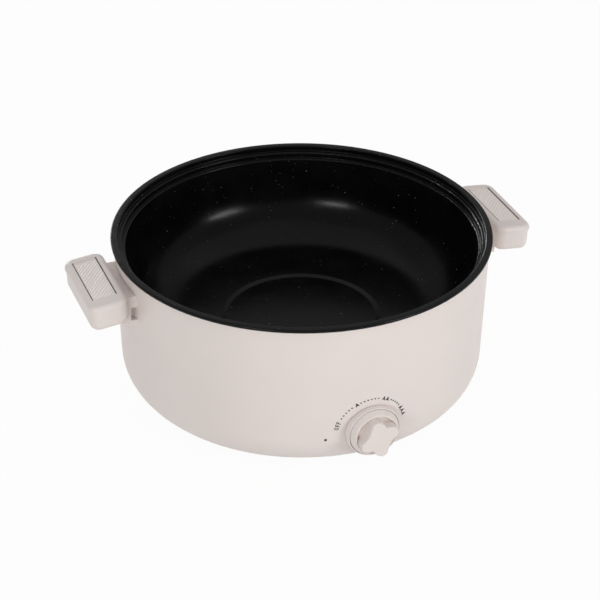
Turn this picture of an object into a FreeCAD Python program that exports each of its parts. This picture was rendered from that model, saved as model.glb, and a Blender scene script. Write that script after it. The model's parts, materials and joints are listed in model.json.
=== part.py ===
"""Electric hot pot: shell, fixed inner pot, heater, thermostat with dial, handles and base.

Frame: origin on the pot's axis at the bottom of the feet, +Z up, the dial faces -Y and the
handles lie along X. Lengths are in millimetres, angles in degrees.
"""
import FreeCAD, Part
import Sketcher
import math
import os
import re

Vector = FreeCAD.Vector
Rotation = FreeCAD.Rotation
X_AXIS = Vector(1, 0, 0)
Y_AXIS = Vector(0, 1, 0)
Z_AXIS = Vector(0, 0, 1)

doc = FreeCAD.newDocument("electric_hot_pot")

# ---------------------------------------------------------------- driving sizes
SIZES = {
    # inner pot
    "pot_mouth_radius": 148.0,
    "steamer_ledge_width": 2.5,
    "steamer_ledge_depth": 10.4,
    "lid_ledge_width": 3.5,
    "lid_ledge_depth": 5.2,
    "seat_edge_round": 1.2,
    "seat_corner_round": 0.6,
    "rim_overhang": 2.3,
    "rim_thickness": 3.0,
    "rim_edge_round": 1.2,
    "rim_lip_round": 1.3,
    "pot_wall": 1.8,
    "pot_wall_taper": 5.1,
    "pot_corner_rise": 5.6,
    "pot_corner_round": 45.0,
    "pot_floor_depth": 85.2,
    "floor_ring_radius": 68.0,
    "floor_ring_width": 4.0,
    "floor_ring_step": 1.2,
    # shell and base
    "shell_gap": 0.3,
    "shell_wall": 1.6,
    "shell_draft": 0.0264,
    "shell_bevel": 14.3,
    "shell_upper_round": 33.0,
    "shell_lower_round": 14.0,
    "shell_flange_width": 36.0,
    "gasket_thickness": 0.6,
    "chamber_height": 48.4,
    "foot_height": 4.6,
    "foot_top_radius": 9.5,
    "foot_bottom_radius": 8.0,
    "foot_edge_round": 1.0,
    "foot_stem_radius": 2.9,
    "foot_barb_radius": 3.9,
    "foot_barb_height": 3.0,
    "foot_inset": 14.2,
    "cover_thickness": 2.0,
    "cover_overlap": 8.0,
    "cover_edge_round": 0.9,
    "cover_lip_height": 4.0,
    "cover_lip_width": 2.0,
    "vent_length": 34.0,
    "vent_width": 3.2,
    "vent_start_radius": 50.0,
    "vent_count": 20,
    "base_boss_radius": 3.8,
    "base_boss_height": 12.0,
    # screws and nuts
    "tapping_screw_radius": 1.4,
    "tapping_head_radius": 3.1,
    "tapping_head_height": 2.2,
    "base_screw_length": 14.0,
    "screw_gap": 0.08,
    "pass_gap": 0.35,
    "cross_length": 3.4,
    "cross_width": 0.8,
    "cross_depth": 1.2,
    "fit_gap": 0.25,
    # heater
    "plate_thickness": 3.0,
    "element_margin": 14.0,
    "element_tube_radius": 3.3,
    "element_bend_radius": 14.0,
    "element_leg_offset": 11.4,
    "element_leg_reach": 28.0,
    "groove_gap": 0.06,
    "seal_radius": 4.2,
    "seal_length": 8.0,
    "terminal_radius": 1.5,
    "terminal_length": 14.0,
    "shield_gap": 16.0,
    "shield_margin": 8.0,
    "shield_lip_height": 10.0,
    "shield_sheet": 0.7,
    "shield_round": 3.0,
    "stud_circle_radius": 50.0,
    "stud_radius": 2.0,
    "stud_tail": 6.0,
    "shield_pass_radius": 3.5,
    "nut_flat_radius": 3.5,
    "nut_height": 3.2,
    # sensing bulb and safety cut-out
    "bulb_radius": 3.0,
    "bulb_length": 56.0,
    "bulb_y": -26.0,
    "clip_sheet": 0.8,
    "clip_length": 12.0,
    "clip_flange": 9.0,
    "cutout_radius": 8.0,
    "cutout_height": 10.0,
    "cutout_y": 14.0,
    "cutout_ear_reach": 14.5,
    "cutout_ear_width": 7.0,
    "cutout_ear_drop": 4.0,
    "cutout_ear_sheet": 0.8,
    "cutout_hole_reach": 11.5,
    "cutout_blade_width": 6.3,
    "cutout_blade_sheet": 0.8,
    "cutout_blade_length": 4.8,
    "small_screw_radius": 1.4,
    "small_head_radius": 2.6,
    "small_head_height": 1.6,
    "small_screw_bite": 1.8,
    # thermostat, dial and lamp
    "dial_x": 1.2,
    "knob_height": 39.6,
    "knob_rest_angle": 28.0,
    "thermostat_width": 32.0,
    "thermostat_depth": 18.0,
    "thermostat_setback": 8.6,
    "thermostat_blade_length": 8.0,
    "thermostat_blade_spread": 8.0,
    "collar_radius": 7.0,
    "collar_length": 5.0,
    "collar_nut_flat_radius": 8.5,
    "collar_nut_height": 2.6,
    "bracket_sheet": 1.2,
    "bracket_length": 58.0,
    "bracket_width": 26.0,
    "bracket_boss_reach": 23.0,
    "wall_boss_radius": 4.0,
    "wall_screw_bite": 4.0,
    "shaft_radius": 3.0,
    "shaft_flat": 1.5,
    "shaft_gap": 0.05,
    "shaft_reach": 13.0,
    "shaft_hole_radius": 5.0,
    "knob_skirt_radius": 21.0,
    "knob_front_radius": 18.4,
    "knob_rim_width": 1.2,
    "knob_skirt_height": 9.9,
    "knob_cone_height": 4.6,
    "knob_skirt_wall": 1.6,
    "knob_dish_depth": 2.5,
    "knob_top_wall": 2.0,
    "knob_clearance": 2.0,
    "knob_hub_radius": 5.5,
    "knob_protrusion": 17.4,
    "knob_edge_round": 1.3,
    "grip_length": 28.0,
    "grip_width": 25.0,
    "grip_corner_round": 4.5,
    "grip_notch_width": 9.6,
    "grip_notch_depth": 2.3,
    "grip_notch_round": 3.0,
    "grip_notch_edge_round": 1.4,
    "grip_waist_length": 17.0,
    "grip_waist_depth": 2.4,
    "grip_waist_round": 20.0,
    "grip_waist_edge_round": 3.0,
    "grip_wall": 2.2,
    "spring_sheet": 0.6,
    "spring_width": 3.0,
    "spring_gap_angle": 60.0,
    "bezel_gap": 0.35,
    "bezel_width": 1.55,
    "bezel_height": 5.0,
    "bezel_taper": 0.7,
    "bezel_round": 0.5,
    "bezel_inner_round": 0.2,
    "bezel_back": 14.0,
    "bezel_groove_width": 0.6,
    "bezel_groove_height": 0.9,
    "lamp_x": -37.2,
    "lamp_drop": 4.7,
    "lens_radius": 0.85,
    "lens_flange": 0.25,
    "lens_dome": 0.5,
    "lens_stem": 5.0,
    "lamp_radius": 2.2,
    "lamp_tip_round": 1.4,
    "lamp_side_gap": 0.1,
    "lamp_front_gap": 0.5,
    "lamp_length": 9.0,
    "lamp_sleeve_radius": 4.2,
    "lamp_sleeve_length": 13.0,
    "lamp_sleeve_gap": 0.7,
    # handles
    "handle_stand_off": 5.8,
    "handle_drop": 9.9,
    "handle_tilt": 6.7,
    "handle_length": 84.4,
    "handle_width": 33.6,
    "handle_block_height": 23.7,
    "handle_cap_height": 4.7,
    "handle_corner_round": 9.0,
    "handle_top_round": 4.0,
    "handle_bottom_round": 6.0,
    "handle_inner_lean": 2.4,
    "handle_outer_lean": 0.4,
    "handle_wall": 2.2,
    "handle_root_wall": 11.0,
    "cap_overhang": 0.9,
    "cap_seam_gap": 0.5,
    "cap_seam_depth": 2.0,
    "cap_lip_height": 2.5,
    "neck_length": 59.4,
    "neck_drop": 6.2,
    "neck_height": 23.9,
    "neck_slot_width": 4.4,
    "neck_slot_height": 11.7,
    "neck_slot_depth": 6.0,
    "neck_slot_lift": 1.7,
    "panel_centre_x": 16.8,
    "panel_centre_y": 2.2,
    "panel_recess_width": 20.8,
    "panel_recess_length": 62.6,
    "panel_recess_depth": 2.4,
    "panel_thickness": 1.9,
    "trim_width": 0.9,
    "trim_height": 2.15,
    "panel_gap": 0.04,
    "well_radius": 5.2,
    "well_height": 8.0,
    "well_bore_depth": 5.0,
    "cap_boss_radius": 3.6,
    "cap_screw_y": 27.0,
    "cap_screw_x": 20.0,
    "cap_screw_length": 11.0,
    "handle_plate_sheet": 1.6,
    "handle_plate_gap": 0.45,
    "handle_plate_length": 62.0,
    "handle_plate_height": 14.0,
    "handle_screw_radius": 1.8,
    "handle_screw_head_radius": 3.5,
    "handle_screw_head_height": 2.0,
    "handle_screw_length": 14.0,
    "handle_screw_y": 22.0,
    "handle_screw_drop": 23.0,
    # appliance inlet and wiring
    "inlet_height": 44.0,
    "inlet_width": 29.4,
    "inlet_tall": 21.4,
    "inlet_proud": 1.5,
    "inlet_depth": 26.0,
    "inlet_wall": 2.2,
    "inlet_socket_depth": 17.0,
    "inlet_corner_round": 3.0,
    "inlet_window_gap": 0.3,
    "inlet_flange_setback": 7.5,
    "inlet_flange_thickness": 2.5,
    "inlet_flange_length": 50.0,
    "inlet_screw_reach": 20.0,
    "pin_width": 4.0,
    "pin_sheet": 2.0,
    "pin_spacing": 7.0,
    "earth_pin_rise": 4.0,
    "pin_tail": 8.0,
    "block_x": -36.0,
    "block_setback": 32.2,
    "block_length": 50.0,
    "block_width": 15.0,
    "block_height": 13.0,
    "block_ways": 5,
    "block_bore_radius": 1.8,
    "fuse_radius": 2.2,
    "fuse_length": 26.0,
    "fuse_block_gap": 10.0,
    "wire_radius": 1.1,
    "lamp_wire_radius": 0.7,
    "capillary_radius": 0.9,
    "capillary_bulb_reach": 14.0,
    "capillary_way_x": 36.0,
    "capillary_way_y": -118.0,
    "capillary_lift": 3.0,
    "capillary_port_y": 9.0,
    "capillary_port_drop": 9.6,
    "capillary_port_reach": 10.0,
    "lamp_wire_tail": 8.0,
    "wire_bend": 6.0,
    "wire_end_gap": 0.05,
}

# Sizes that follow from the driving ones, as formulas.
WORKED_OUT = {
    "base_height": "foot_height + cover_thickness",
    "pot_underside": "base_height + chamber_height",
    "overall_height": "pot_underside + pot_wall + pot_floor_depth",
    "steamer_seat_radius": "pot_mouth_radius + steamer_ledge_width",
    "lid_seat_radius": "steamer_seat_radius + lid_ledge_width",
    "shell_top_inner": "lid_seat_radius + pot_wall + shell_gap",
    "shell_top_radius": "shell_top_inner + shell_wall",
    "rim_radius": "shell_top_radius + rim_overhang",
    "rim_underside": "overall_height - rim_thickness",
    "shell_top": "rim_underside - gasket_thickness",
    "shell_foot_radius": "shell_top_radius - (shell_top - base_height) * shell_draft",
    "shell_bevel_radius":
        "shell_top_radius - (shell_top - base_height - shell_bevel) * shell_draft",
    "bevel_shift": "shell_wall * tan(22.5)",
    "base_opening_radius": "shell_foot_radius - shell_flange_width",
    "cover_radius": "base_opening_radius + cover_overlap",
    "base_screw_circle": "base_opening_radius + cover_overlap / 2",
    "foot_circle_radius": "base_opening_radius - foot_inset",
    "block_y": "base_opening_radius - block_setback",
    "fuse_y": "block_y - fuse_block_gap",
    "pot_corner_radius": "pot_mouth_radius - pot_wall_taper",
    "pot_corner_height": "overall_height - pot_floor_depth + pot_corner_rise",
    "pot_floor_height": "pot_underside + pot_wall",
    "ring_height": "pot_floor_height + floor_ring_step",
    "ring_inner_radius": "floor_ring_radius - floor_ring_width",
    "floor_slope":
        "(pot_corner_height - ring_height) / (pot_corner_radius - floor_ring_radius)",
    "plate_radius": "pot_corner_radius - pot_corner_round",
    "plate_rim_top":
        "ring_height - pot_wall + (plate_radius - floor_ring_radius) * floor_slope",
    "plate_underside": "pot_underside - plate_thickness",
    "element_radius": "plate_radius - element_margin",
    "element_end_y": "element_radius + element_leg_reach",
    "shield_radius": "plate_radius + shield_margin",
    "shield_top": "plate_underside - shield_gap",
    "shield_underside": "shield_top - shield_sheet",
    "knob_wall": "shell_top_radius - (shell_top - knob_height) * shell_draft",
    "bracket_front": "knob_wall - thermostat_setback",
    "bracket_back": "bracket_front - bracket_sheet",
    "knob_inner_round_radius": "knob_skirt_radius - knob_skirt_wall",
    "knob_dish_height": "knob_skirt_height - knob_dish_depth",
    "knob_hollow_height": "knob_dish_height - knob_top_wall",
    "bezel_inner_radius": "knob_skirt_radius + bezel_gap",
    "bezel_outer_radius": "bezel_inner_radius + bezel_width",
    "lamp_height": "knob_height - lamp_drop",
    "lamp_wall": "shell_top_radius - (shell_top - lamp_height) * shell_draft",
    "handle_inner_x": "shell_top_radius + handle_stand_off",
    "handle_top": "overall_height - handle_drop",
    "handle_body_height": "handle_block_height - handle_cap_height",
    "neck_top": "handle_top - neck_drop",
    "neck_bottom": "neck_top - neck_height",
    "handle_screw_height": "overall_height - handle_screw_drop",
    "handle_screw_wall":
        "shell_top_radius - (shell_top - handle_screw_height) * shell_draft",
    "handle_plate_radius": "handle_screw_wall - shell_wall - handle_plate_sheet",
    "panel_width": "panel_recess_width - 2 * trim_width",
    "inlet_wall_radius":
        "shell_top_radius - (shell_top - inlet_height) * shell_draft",
    "inlet_front": "inlet_wall_radius + inlet_proud",
    "inlet_back": "inlet_front - inlet_depth",
    "inlet_flange_front": "inlet_wall_radius - inlet_flange_setback",
    "inlet_flange_back": "inlet_flange_front - inlet_flange_thickness",
    "capillary_pass_x": "bulb_length / 2 + capillary_bulb_reach",
    "fuse_pass_y": "fuse_y - 18",
    "cutout_pass_x": "cutout_radius + 10",
    "bulb_height": "plate_underside - bulb_radius - groove_gap",
    "fuse_height": "shield_top + fuse_radius",
    "wire_level": "base_height + block_height / 2",
    "blade_end": "thermostat_depth + thermostat_blade_length - bracket_back",
}


def make_size_sheet():
    """The spreadsheet of driving sizes: a name in column A, its value in column B."""
    sheet = doc.addObject("Spreadsheet::Sheet", "sizes")
    for row, (alias, size) in enumerate(SIZES.items(), start=1):
        sheet.set(f"A{row}", alias)
        sheet.set(f"B{row}", str(size))
        sheet.setAlias(f"B{row}", alias)
    doc.recompute()
    return sheet


sheet = make_size_sheet()
WORD = re.compile(r"[a-z][a-z0-9_]*")


def bound(formula):
    """A formula over size names, written out with the sheet's cells."""
    def cell(match):
        word = match.group(0)
        if word in WORKED_OUT:
            return f"({bound(WORKED_OUT[word])})"
        return f"sizes.{word}" if word in SIZES else word
    return WORD.sub(cell, str(formula))


def value(formula):
    """The number that a formula over size names comes to."""
    return float(sheet.evalExpression(bound(formula)))


def spot(x, y, z):
    """A point whose coordinates are formulas."""
    return Vector(value(x), value(y), value(z))


# ---------------------------------------------------------------- sketches
def origin_feature(body, role):
    """The body's own origin plane or axis with this role."""
    return next(item for item in body.Origin.OriginFeatures if item.Role == role)


def new_body(name):
    """An empty PartDesign body."""
    body = doc.addObject("PartDesign::Body", name)
    body.Label = name
    return body


def new_sketch(body, role, offset="0"):
    """A sketch on one of the body's origin planes, moved along the plane's normal."""
    sketch = body.newObject("Sketcher::SketchObject", f"{body.Name}_sketch")
    sketch.AttachmentSupport = [(origin_feature(body, role), "")]
    sketch.MapMode = "FlatFace"
    sketch.setExpression("AttachmentOffset.Base.z", bound(offset))
    return sketch


def pin_point(sketch, geometry, position, x, y):
    """Hold one point of a sketch at (x, y), given as formulas."""
    first = sketch.ConstraintCount
    sketch.addConstraint([
        Sketcher.Constraint("DistanceX", -1, 1, geometry, position, value(x)),
        Sketcher.Constraint("DistanceY", -1, 1, geometry, position, value(y)),
    ])
    sketch.setExpression(f"Constraints[{first}]", bound(x))
    sketch.setExpression(f"Constraints[{first + 1}]", bound(y))


def hold_radius(sketch, geometry, radius):
    """Hold the radius of a circle or arc."""
    index = sketch.addConstraint(Sketcher.Constraint("Radius", geometry, value(radius)))
    sketch.setExpression(f"Constraints[{index}]", bound(radius))


def draw_circle(sketch, x, y, radius):
    """A circle whose centre and radius are formulas."""
    circle = Part.Circle(spot(x, y, 0), Z_AXIS, value(radius))
    geometry = sketch.addGeometry(circle)
    pin_point(sketch, geometry, 3, x, y)
    hold_radius(sketch, geometry, radius)


def draw_outline(sketch, corners):
    """A closed outline through corners (x, y) or (x, y, rounding), all formulas."""
    count = len(corners)
    points = [spot(corner[0], corner[1], 0) for corner in corners]
    rounds = [corner[2] if len(corner) > 2 else None for corner in corners]
    setbacks, bisectors, halves = [], [], []
    for i in range(count):
        to_before = (points[i - 1] - points[i]).normalize()
        to_after = (points[(i + 1) % count] - points[i]).normalize()
        half = to_before.getAngle(to_after) / 2
        radius = value(rounds[i]) if rounds[i] else 0.0
        setbacks.append(radius / math.tan(half))
        bisectors.append((to_before + to_after).normalize() if rounds[i] else None)
        halves.append(half)
    sides = []
    for i in range(count):
        after = (i + 1) % count
        along = (points[after] - points[i]).normalize()
        start = points[i] + along * setbacks[i]
        end = points[after] - along * setbacks[after]
        sides.append(sketch.addGeometry(Part.LineSegment(start, end)))
    for i in range(count):
        if rounds[i]:
            radius = value(rounds[i])
            centre = points[i] + bisectors[i] * (radius / math.sin(halves[i]))
            round_corner(sketch, corners[i], points[i], centre, radius, sides[i - 1], sides[i])
        else:
            sketch.addConstraint(
                Sketcher.Constraint("Coincident", sides[i - 1], 2, sides[i], 1))
            pin_point(sketch, sides[i], 1, corners[i][0], corners[i][1])


def round_corner(sketch, corner, point, centre, radius, side_before, side_after):
    """An arc tangent to both sides of a corner, which stays as a construction point."""
    before_end = sketch.Geometry[side_before].EndPoint
    after_start = sketch.Geometry[side_after].StartPoint
    turns_left = (point - before_end).cross(after_start - point).z > 0
    first, last = (before_end, after_start) if turns_left else (after_start, before_end)
    first_angle = math.atan2(first.y - centre.y, first.x - centre.x)
    last_angle = math.atan2(last.y - centre.y, last.x - centre.x)
    circle = Part.Circle(centre, Z_AXIS, radius)
    arc = sketch.addGeometry(Part.ArcOfCircle(circle, first_angle, last_angle))
    vertex = sketch.addGeometry(Part.Point(point), True)
    before_position, after_position = (1, 2) if turns_left else (2, 1)
    sketch.addConstraint([
        Sketcher.Constraint("Tangent", side_before, 2, arc, before_position),
        Sketcher.Constraint("Tangent", side_after, 1, arc, after_position),
        Sketcher.Constraint("PointOnObject", vertex, 1, side_before),
        Sketcher.Constraint("PointOnObject", vertex, 1, side_after),
    ])
    pin_point(sketch, vertex, 1, corner[0], corner[1])
    hold_radius(sketch, arc, corner[2])


def rectangle(x_low, x_high, y_low, y_high, rounding=None):
    """The four corners of a rectangle, rounded alike if a rounding is given."""
    corners = [(x_low, y_low), (x_high, y_low), (x_high, y_high), (x_low, y_high)]
    return [corner + (rounding,) for corner in corners] if rounding else corners


def hexagon(x, y, flat_radius):
    """A hexagon round (x, y) with this distance from centre to flat."""
    corner_radius = f"({flat_radius}) / cos(30)"
    return [(f"{x} + {corner_radius} * cos({60 * k})", f"{y} + {corner_radius} * sin({60 * k})")
            for k in range(6)]


def cross(length, width):
    """The twelve corners of a cross recess at the origin."""
    far, near = f"{length} / 2", f"{width} / 2"
    quarter = [(far, near), (near, near), (near, far)]
    corners = []
    for turn in range(4):
        for x, y in quarter:
            swap = {0: (x, y), 1: (f"-({y})", x), 2: (f"-({x})", f"-({y})"), 3: (y, f"-({x})")}
            corners.append(swap[turn])
    return corners


# ---------------------------------------------------------------- features
def add_feature(body, kind, sketch, **properties):
    """A sketch-based feature of a body."""
    feature = body.newObject(f"PartDesign::{kind}", f"{body.Name}_{kind.lower()}")
    feature.Profile = sketch
    for name, setting in properties.items():
        setattr(feature, name, setting)
    return feature


def pad(body, role, offset, length, *outlines, reverse=False):
    """A pad of the outlines, each a list of corners or a circle (x, y, radius)."""
    sketch = new_sketch(body, role, offset)
    for outline in outlines:
        draw_shape(sketch, outline)
    feature = add_feature(body, "Pad", sketch, Reversed=reverse)
    feature.setExpression("Length", bound(length))
    return feature


def draw_shape(sketch, outline):
    """Draw either a circle (a tuple) or an outline (a list of corners)."""
    if isinstance(outline, tuple):
        draw_circle(sketch, *outline)
    else:
        draw_outline(sketch, outline)


def pocket(body, role, offset, depth, *outlines, reverse=False):
    """A pocket of the outlines; it has to take material away."""
    doc.recompute()
    before = body.Shape.Volume
    sketch = new_sketch(body, role, offset)
    for outline in outlines:
        draw_shape(sketch, outline)
    feature = add_feature(body, "Pocket", sketch, Reversed=reverse)
    feature.setExpression("Length", bound(depth))
    doc.recompute()
    if not body.Shape.Volume < before:
        raise RuntimeError(f"{feature.Name} cuts nothing")
    return feature


def spin(name, corners):
    """A body turned about Z from an outline in (radius, height)."""
    body = new_body(name)
    sketch = new_sketch(body, "XZ_Plane")
    draw_outline(sketch, corners)
    add_feature(body, "Revolution", sketch, ReferenceAxis=(sketch, ["V_Axis"]), Angle=360.0)
    return body


def round_edges(body, radius, chosen):
    """A fillet on the edges of the body's tip that pass the test."""
    doc.recompute()
    base = body.Tip
    names = [f"Edge{i}" for i, edge in enumerate(base.Shape.Edges, start=1) if chosen(edge)]
    fillet = body.newObject("PartDesign::Fillet", f"{body.Name}_fillet")
    fillet.Base = (base, names)
    fillet.setExpression("Radius", bound(radius))
    return fillet


def lies_flat_at(edge, height):
    """Whether an edge lies in the plane Z = height."""
    box = edge.BoundBox
    return abs(box.ZMin - height) < 1e-4 and abs(box.ZMax - height) < 1e-4


def repeat_round(body, features, count):
    """Repeat features evenly round the Z axis."""
    pattern = body.newObject("PartDesign::PolarPattern", f"{body.Name}_pattern")
    pattern.Originals = features
    pattern.Axis = (origin_feature(body, "Z_Axis"), [""])
    pattern.Angle = 360.0
    pattern.setExpression("Occurrences", bound(count))
    body.Tip = pattern
    return pattern


def move(thing, x="0", y="0", z="0", rotation=None):
    """Set a placement: a place given as formulas, then a rotation."""
    thing.Placement = FreeCAD.Placement(spot(x, y, z), rotation or Rotation())
    for axis, formula in zip("xyz", (x, y, z)):
        thing.setExpression(f"Placement.Base.{axis}", bound(formula))
    return thing


def rod(name, radius, length, x, y, z, direction=Z_AXIS):
    """A cylinder from a point along a direction."""
    cylinder = doc.addObject("Part::Cylinder", name)
    cylinder.Label = name
    cylinder.setExpression("Radius", bound(radius))
    cylinder.setExpression("Height", bound(length))
    return move(cylinder, x, y, z, Rotation(Z_AXIS, direction))


def block(name, x_low, x_high, y_low, y_high, z_low, z_high):
    """A box between two corners."""
    box = doc.addObject("Part::Box", name)
    box.Label = name
    box.setExpression("Length", bound(f"({x_high}) - ({x_low})"))
    box.setExpression("Width", bound(f"({y_high}) - ({y_low})"))
    box.setExpression("Height", bound(f"({z_high}) - ({z_low})"))
    return move(box, x_low, y_low, z_low)


def fuse(name, things):
    """The union of several objects."""
    union = doc.addObject("Part::MultiFuse", name)
    union.Label = name
    union.Shapes = things
    return union


def cut(name, base, tool):
    """One object less another."""
    difference = doc.addObject("Part::Cut", name)
    difference.Label = name
    difference.Base = base
    difference.Tool = tool
    return difference


def common(name, things):
    """What several objects share."""
    shared = doc.addObject("Part::MultiCommon", name)
    shared.Label = name
    shared.Shapes = things
    return shared


def gather(name, things):
    """Several separate solids as one object."""
    compound = doc.addObject("Part::Compound", name)
    compound.Label = name
    compound.Links = things
    return compound


def mirror_across_yz(name, source):
    """The mirror image of an object on the other side of the pot."""
    image = doc.addObject("Part::Mirroring", name)
    image.Label = name
    image.Source = source
    image.Normal = X_AXIS
    return image


def screw(name, radius, length, head_radius, head_height):
    """A pan-head screw: the shank runs along +Z from the underside of its head."""
    body = spin(name, [
        ("0", f"-({head_height})"),
        (head_radius, f"-({head_height})", f"{head_height} * 0.45"),
        (head_radius, "0"),
        (radius, "0"),
        (radius, f"{length} - {radius}"),
        (f"{radius} * 0.3", length),
        ("0", length),
    ])
    pocket(body, "XY_Plane", f"-({head_height})", "cross_depth",
           cross("cross_length", "cross_width"), reverse=True)
    return body


def copy_of(source, name, place, rotation):
    """A further copy of a small body at its own place."""
    link = doc.addObject("App::Link", name)
    link.LinkedObject = source
    link.LinkTransform = False
    link.LinkPlacement = FreeCAD.Placement(place, rotation)
    return link


def set_of_screws(name, sizes, places):
    """Identical screws: sizes as for a screw, places as (point, direction) pairs."""
    master = screw(f"{name}_master", *sizes)
    copies = [copy_of(master, f"{name}_{i}", place, Rotation(Z_AXIS, direction))
              for i, (place, direction) in enumerate(places, start=1)]
    return gather(name, copies)


def around(radius, angle, height):
    """A point at a radius and angle about the pot's axis."""
    return Vector(radius * math.cos(math.radians(angle)),
                  radius * math.sin(math.radians(angle)), height)


def tube_path(points):
    """A wire through points: straight runs joined by tangent arcs."""
    edges = []
    last = points[0]
    bend = value("wire_bend")
    for before, here, after in zip(points, points[1:], points[2:]):
        back, ahead = before - here, after - here
        half = back.getAngle(ahead) / 2
        setback = min(bend / math.tan(half), 0.45 * back.Length, 0.45 * ahead.Length)
        back.normalize()
        ahead.normalize()
        radius = setback * math.tan(half)
        middle = here + (back + ahead).normalize() * (radius / math.sin(half) - radius)
        edges.append(Part.LineSegment(last, here + back * setback).toShape())
        edges.append(Part.Arc(here + back * setback, middle, here + ahead * setback).toShape())
        last = here + ahead * setback
    edges.append(Part.LineSegment(last, points[-1]).toShape())
    return Part.Wire(edges)


def tubes(name, radius, *routes):
    """Round tubes along routes, each a list of (x, y, z) formulas."""
    solids = []
    for route in routes:
        points = [spot(*place) for place in route]
        ring = Part.makeCircle(value(radius), points[0], points[1] - points[0])
        solids.append(tube_path(points).makePipeShell([Part.Wire(ring)], True, True))
    thing = doc.addObject("Part::Feature", name)
    thing.Label = name
    thing.Shape = Part.makeCompound(solids)
    return thing


# ---------------------------------------------------------------- inner pot and shell
def make_inner_pot():
    """The pot: two stepped seats in the rim, a tapered wall, a wide corner and a floor."""
    inside = [
        ("rim_radius", "overall_height", "rim_edge_round"),
        ("lid_seat_radius", "overall_height", "rim_lip_round"),
        ("lid_seat_radius", "overall_height - lid_ledge_depth", "seat_corner_round"),
        ("steamer_seat_radius", "overall_height - lid_ledge_depth", "seat_edge_round"),
        ("steamer_seat_radius", "overall_height - steamer_ledge_depth", "seat_corner_round"),
        ("pot_mouth_radius", "overall_height - steamer_ledge_depth", "seat_edge_round"),
        ("pot_corner_radius", "pot_corner_height", "pot_corner_round"),
        ("floor_ring_radius", "ring_height"),
        ("ring_inner_radius", "pot_floor_height"),
        ("0", "pot_floor_height"),
    ]
    outside = [
        ("0", "pot_underside"),
        ("ring_inner_radius", "pot_underside"),
        ("floor_ring_radius", "ring_height - pot_wall"),
        ("pot_corner_radius + pot_wall", "pot_corner_height - pot_wall + pot_wall * floor_slope",
         "pot_corner_round + pot_wall"),
        ("pot_mouth_radius + pot_wall", "overall_height - steamer_ledge_depth - pot_wall"),
        ("steamer_seat_radius + pot_wall", "overall_height - steamer_ledge_depth - pot_wall"),
        ("steamer_seat_radius + pot_wall", "overall_height - lid_ledge_depth - pot_wall"),
        ("lid_seat_radius + pot_wall", "overall_height - lid_ledge_depth - pot_wall"),
        ("lid_seat_radius + pot_wall", "rim_underside"),
        ("rim_radius", "rim_underside", "rim_edge_round"),
    ]
    return spin("inner_pot", inside + outside)


def make_rim_gasket():
    """The silicone ring between the pot's flange and the shell, with a lip inside the shell."""
    inner = "lid_seat_radius + pot_wall + 0.06"
    return spin("rim_gasket", [
        (inner, "rim_underside"),
        (inner, "shell_top"),
        ("shell_top_radius - 0.3", "shell_top"),
        ("shell_top_radius - 0.3", "rim_underside"),
    ])


def shell_outside():
    """The shell's outer outline, from its top edge to its bottom edge."""
    return [
        ("shell_top_radius", "shell_top"),
        ("shell_bevel_radius", "base_height + shell_bevel", "shell_upper_round"),
        ("shell_foot_radius - shell_bevel", "base_height", "shell_lower_round"),
    ]


def shell_inside():
    """The shell's inner outline, from its bottom flange to its top edge."""
    return [
        ("shell_foot_radius - shell_bevel - bevel_shift", "base_height + shell_wall",
         "shell_lower_round - shell_wall"),
        ("shell_bevel_radius - shell_wall", "base_height + shell_bevel + bevel_shift",
         "shell_upper_round - shell_wall"),
        ("shell_top_inner", "shell_top"),
    ]


def make_shell_forms():
    """The shell's skin, and solids that fill its outside and its inside."""
    skin = spin("shell_skin", shell_outside() + [
        ("base_opening_radius", "base_height"),
        ("base_opening_radius", "base_height + shell_wall"),
    ] + shell_inside())
    filled = spin("shell_filled", shell_outside() + [("0", "base_height"), ("0", "shell_top")])
    hollow = spin("shell_hollow", [("0", "base_height + shell_wall")] + shell_inside()
                  + [("0", "shell_top")])
    return skin, filled, hollow


def radial_direction(x, wall_radius):
    """The outward direction of the front wall where it is at this X."""
    across = x / wall_radius
    return Vector(across, -math.sqrt(1 - across ** 2), 0)


def base_screw_angles():
    """The angles of the base cover's screws."""
    return [30 + 60 * k for k in range(6)]


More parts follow.
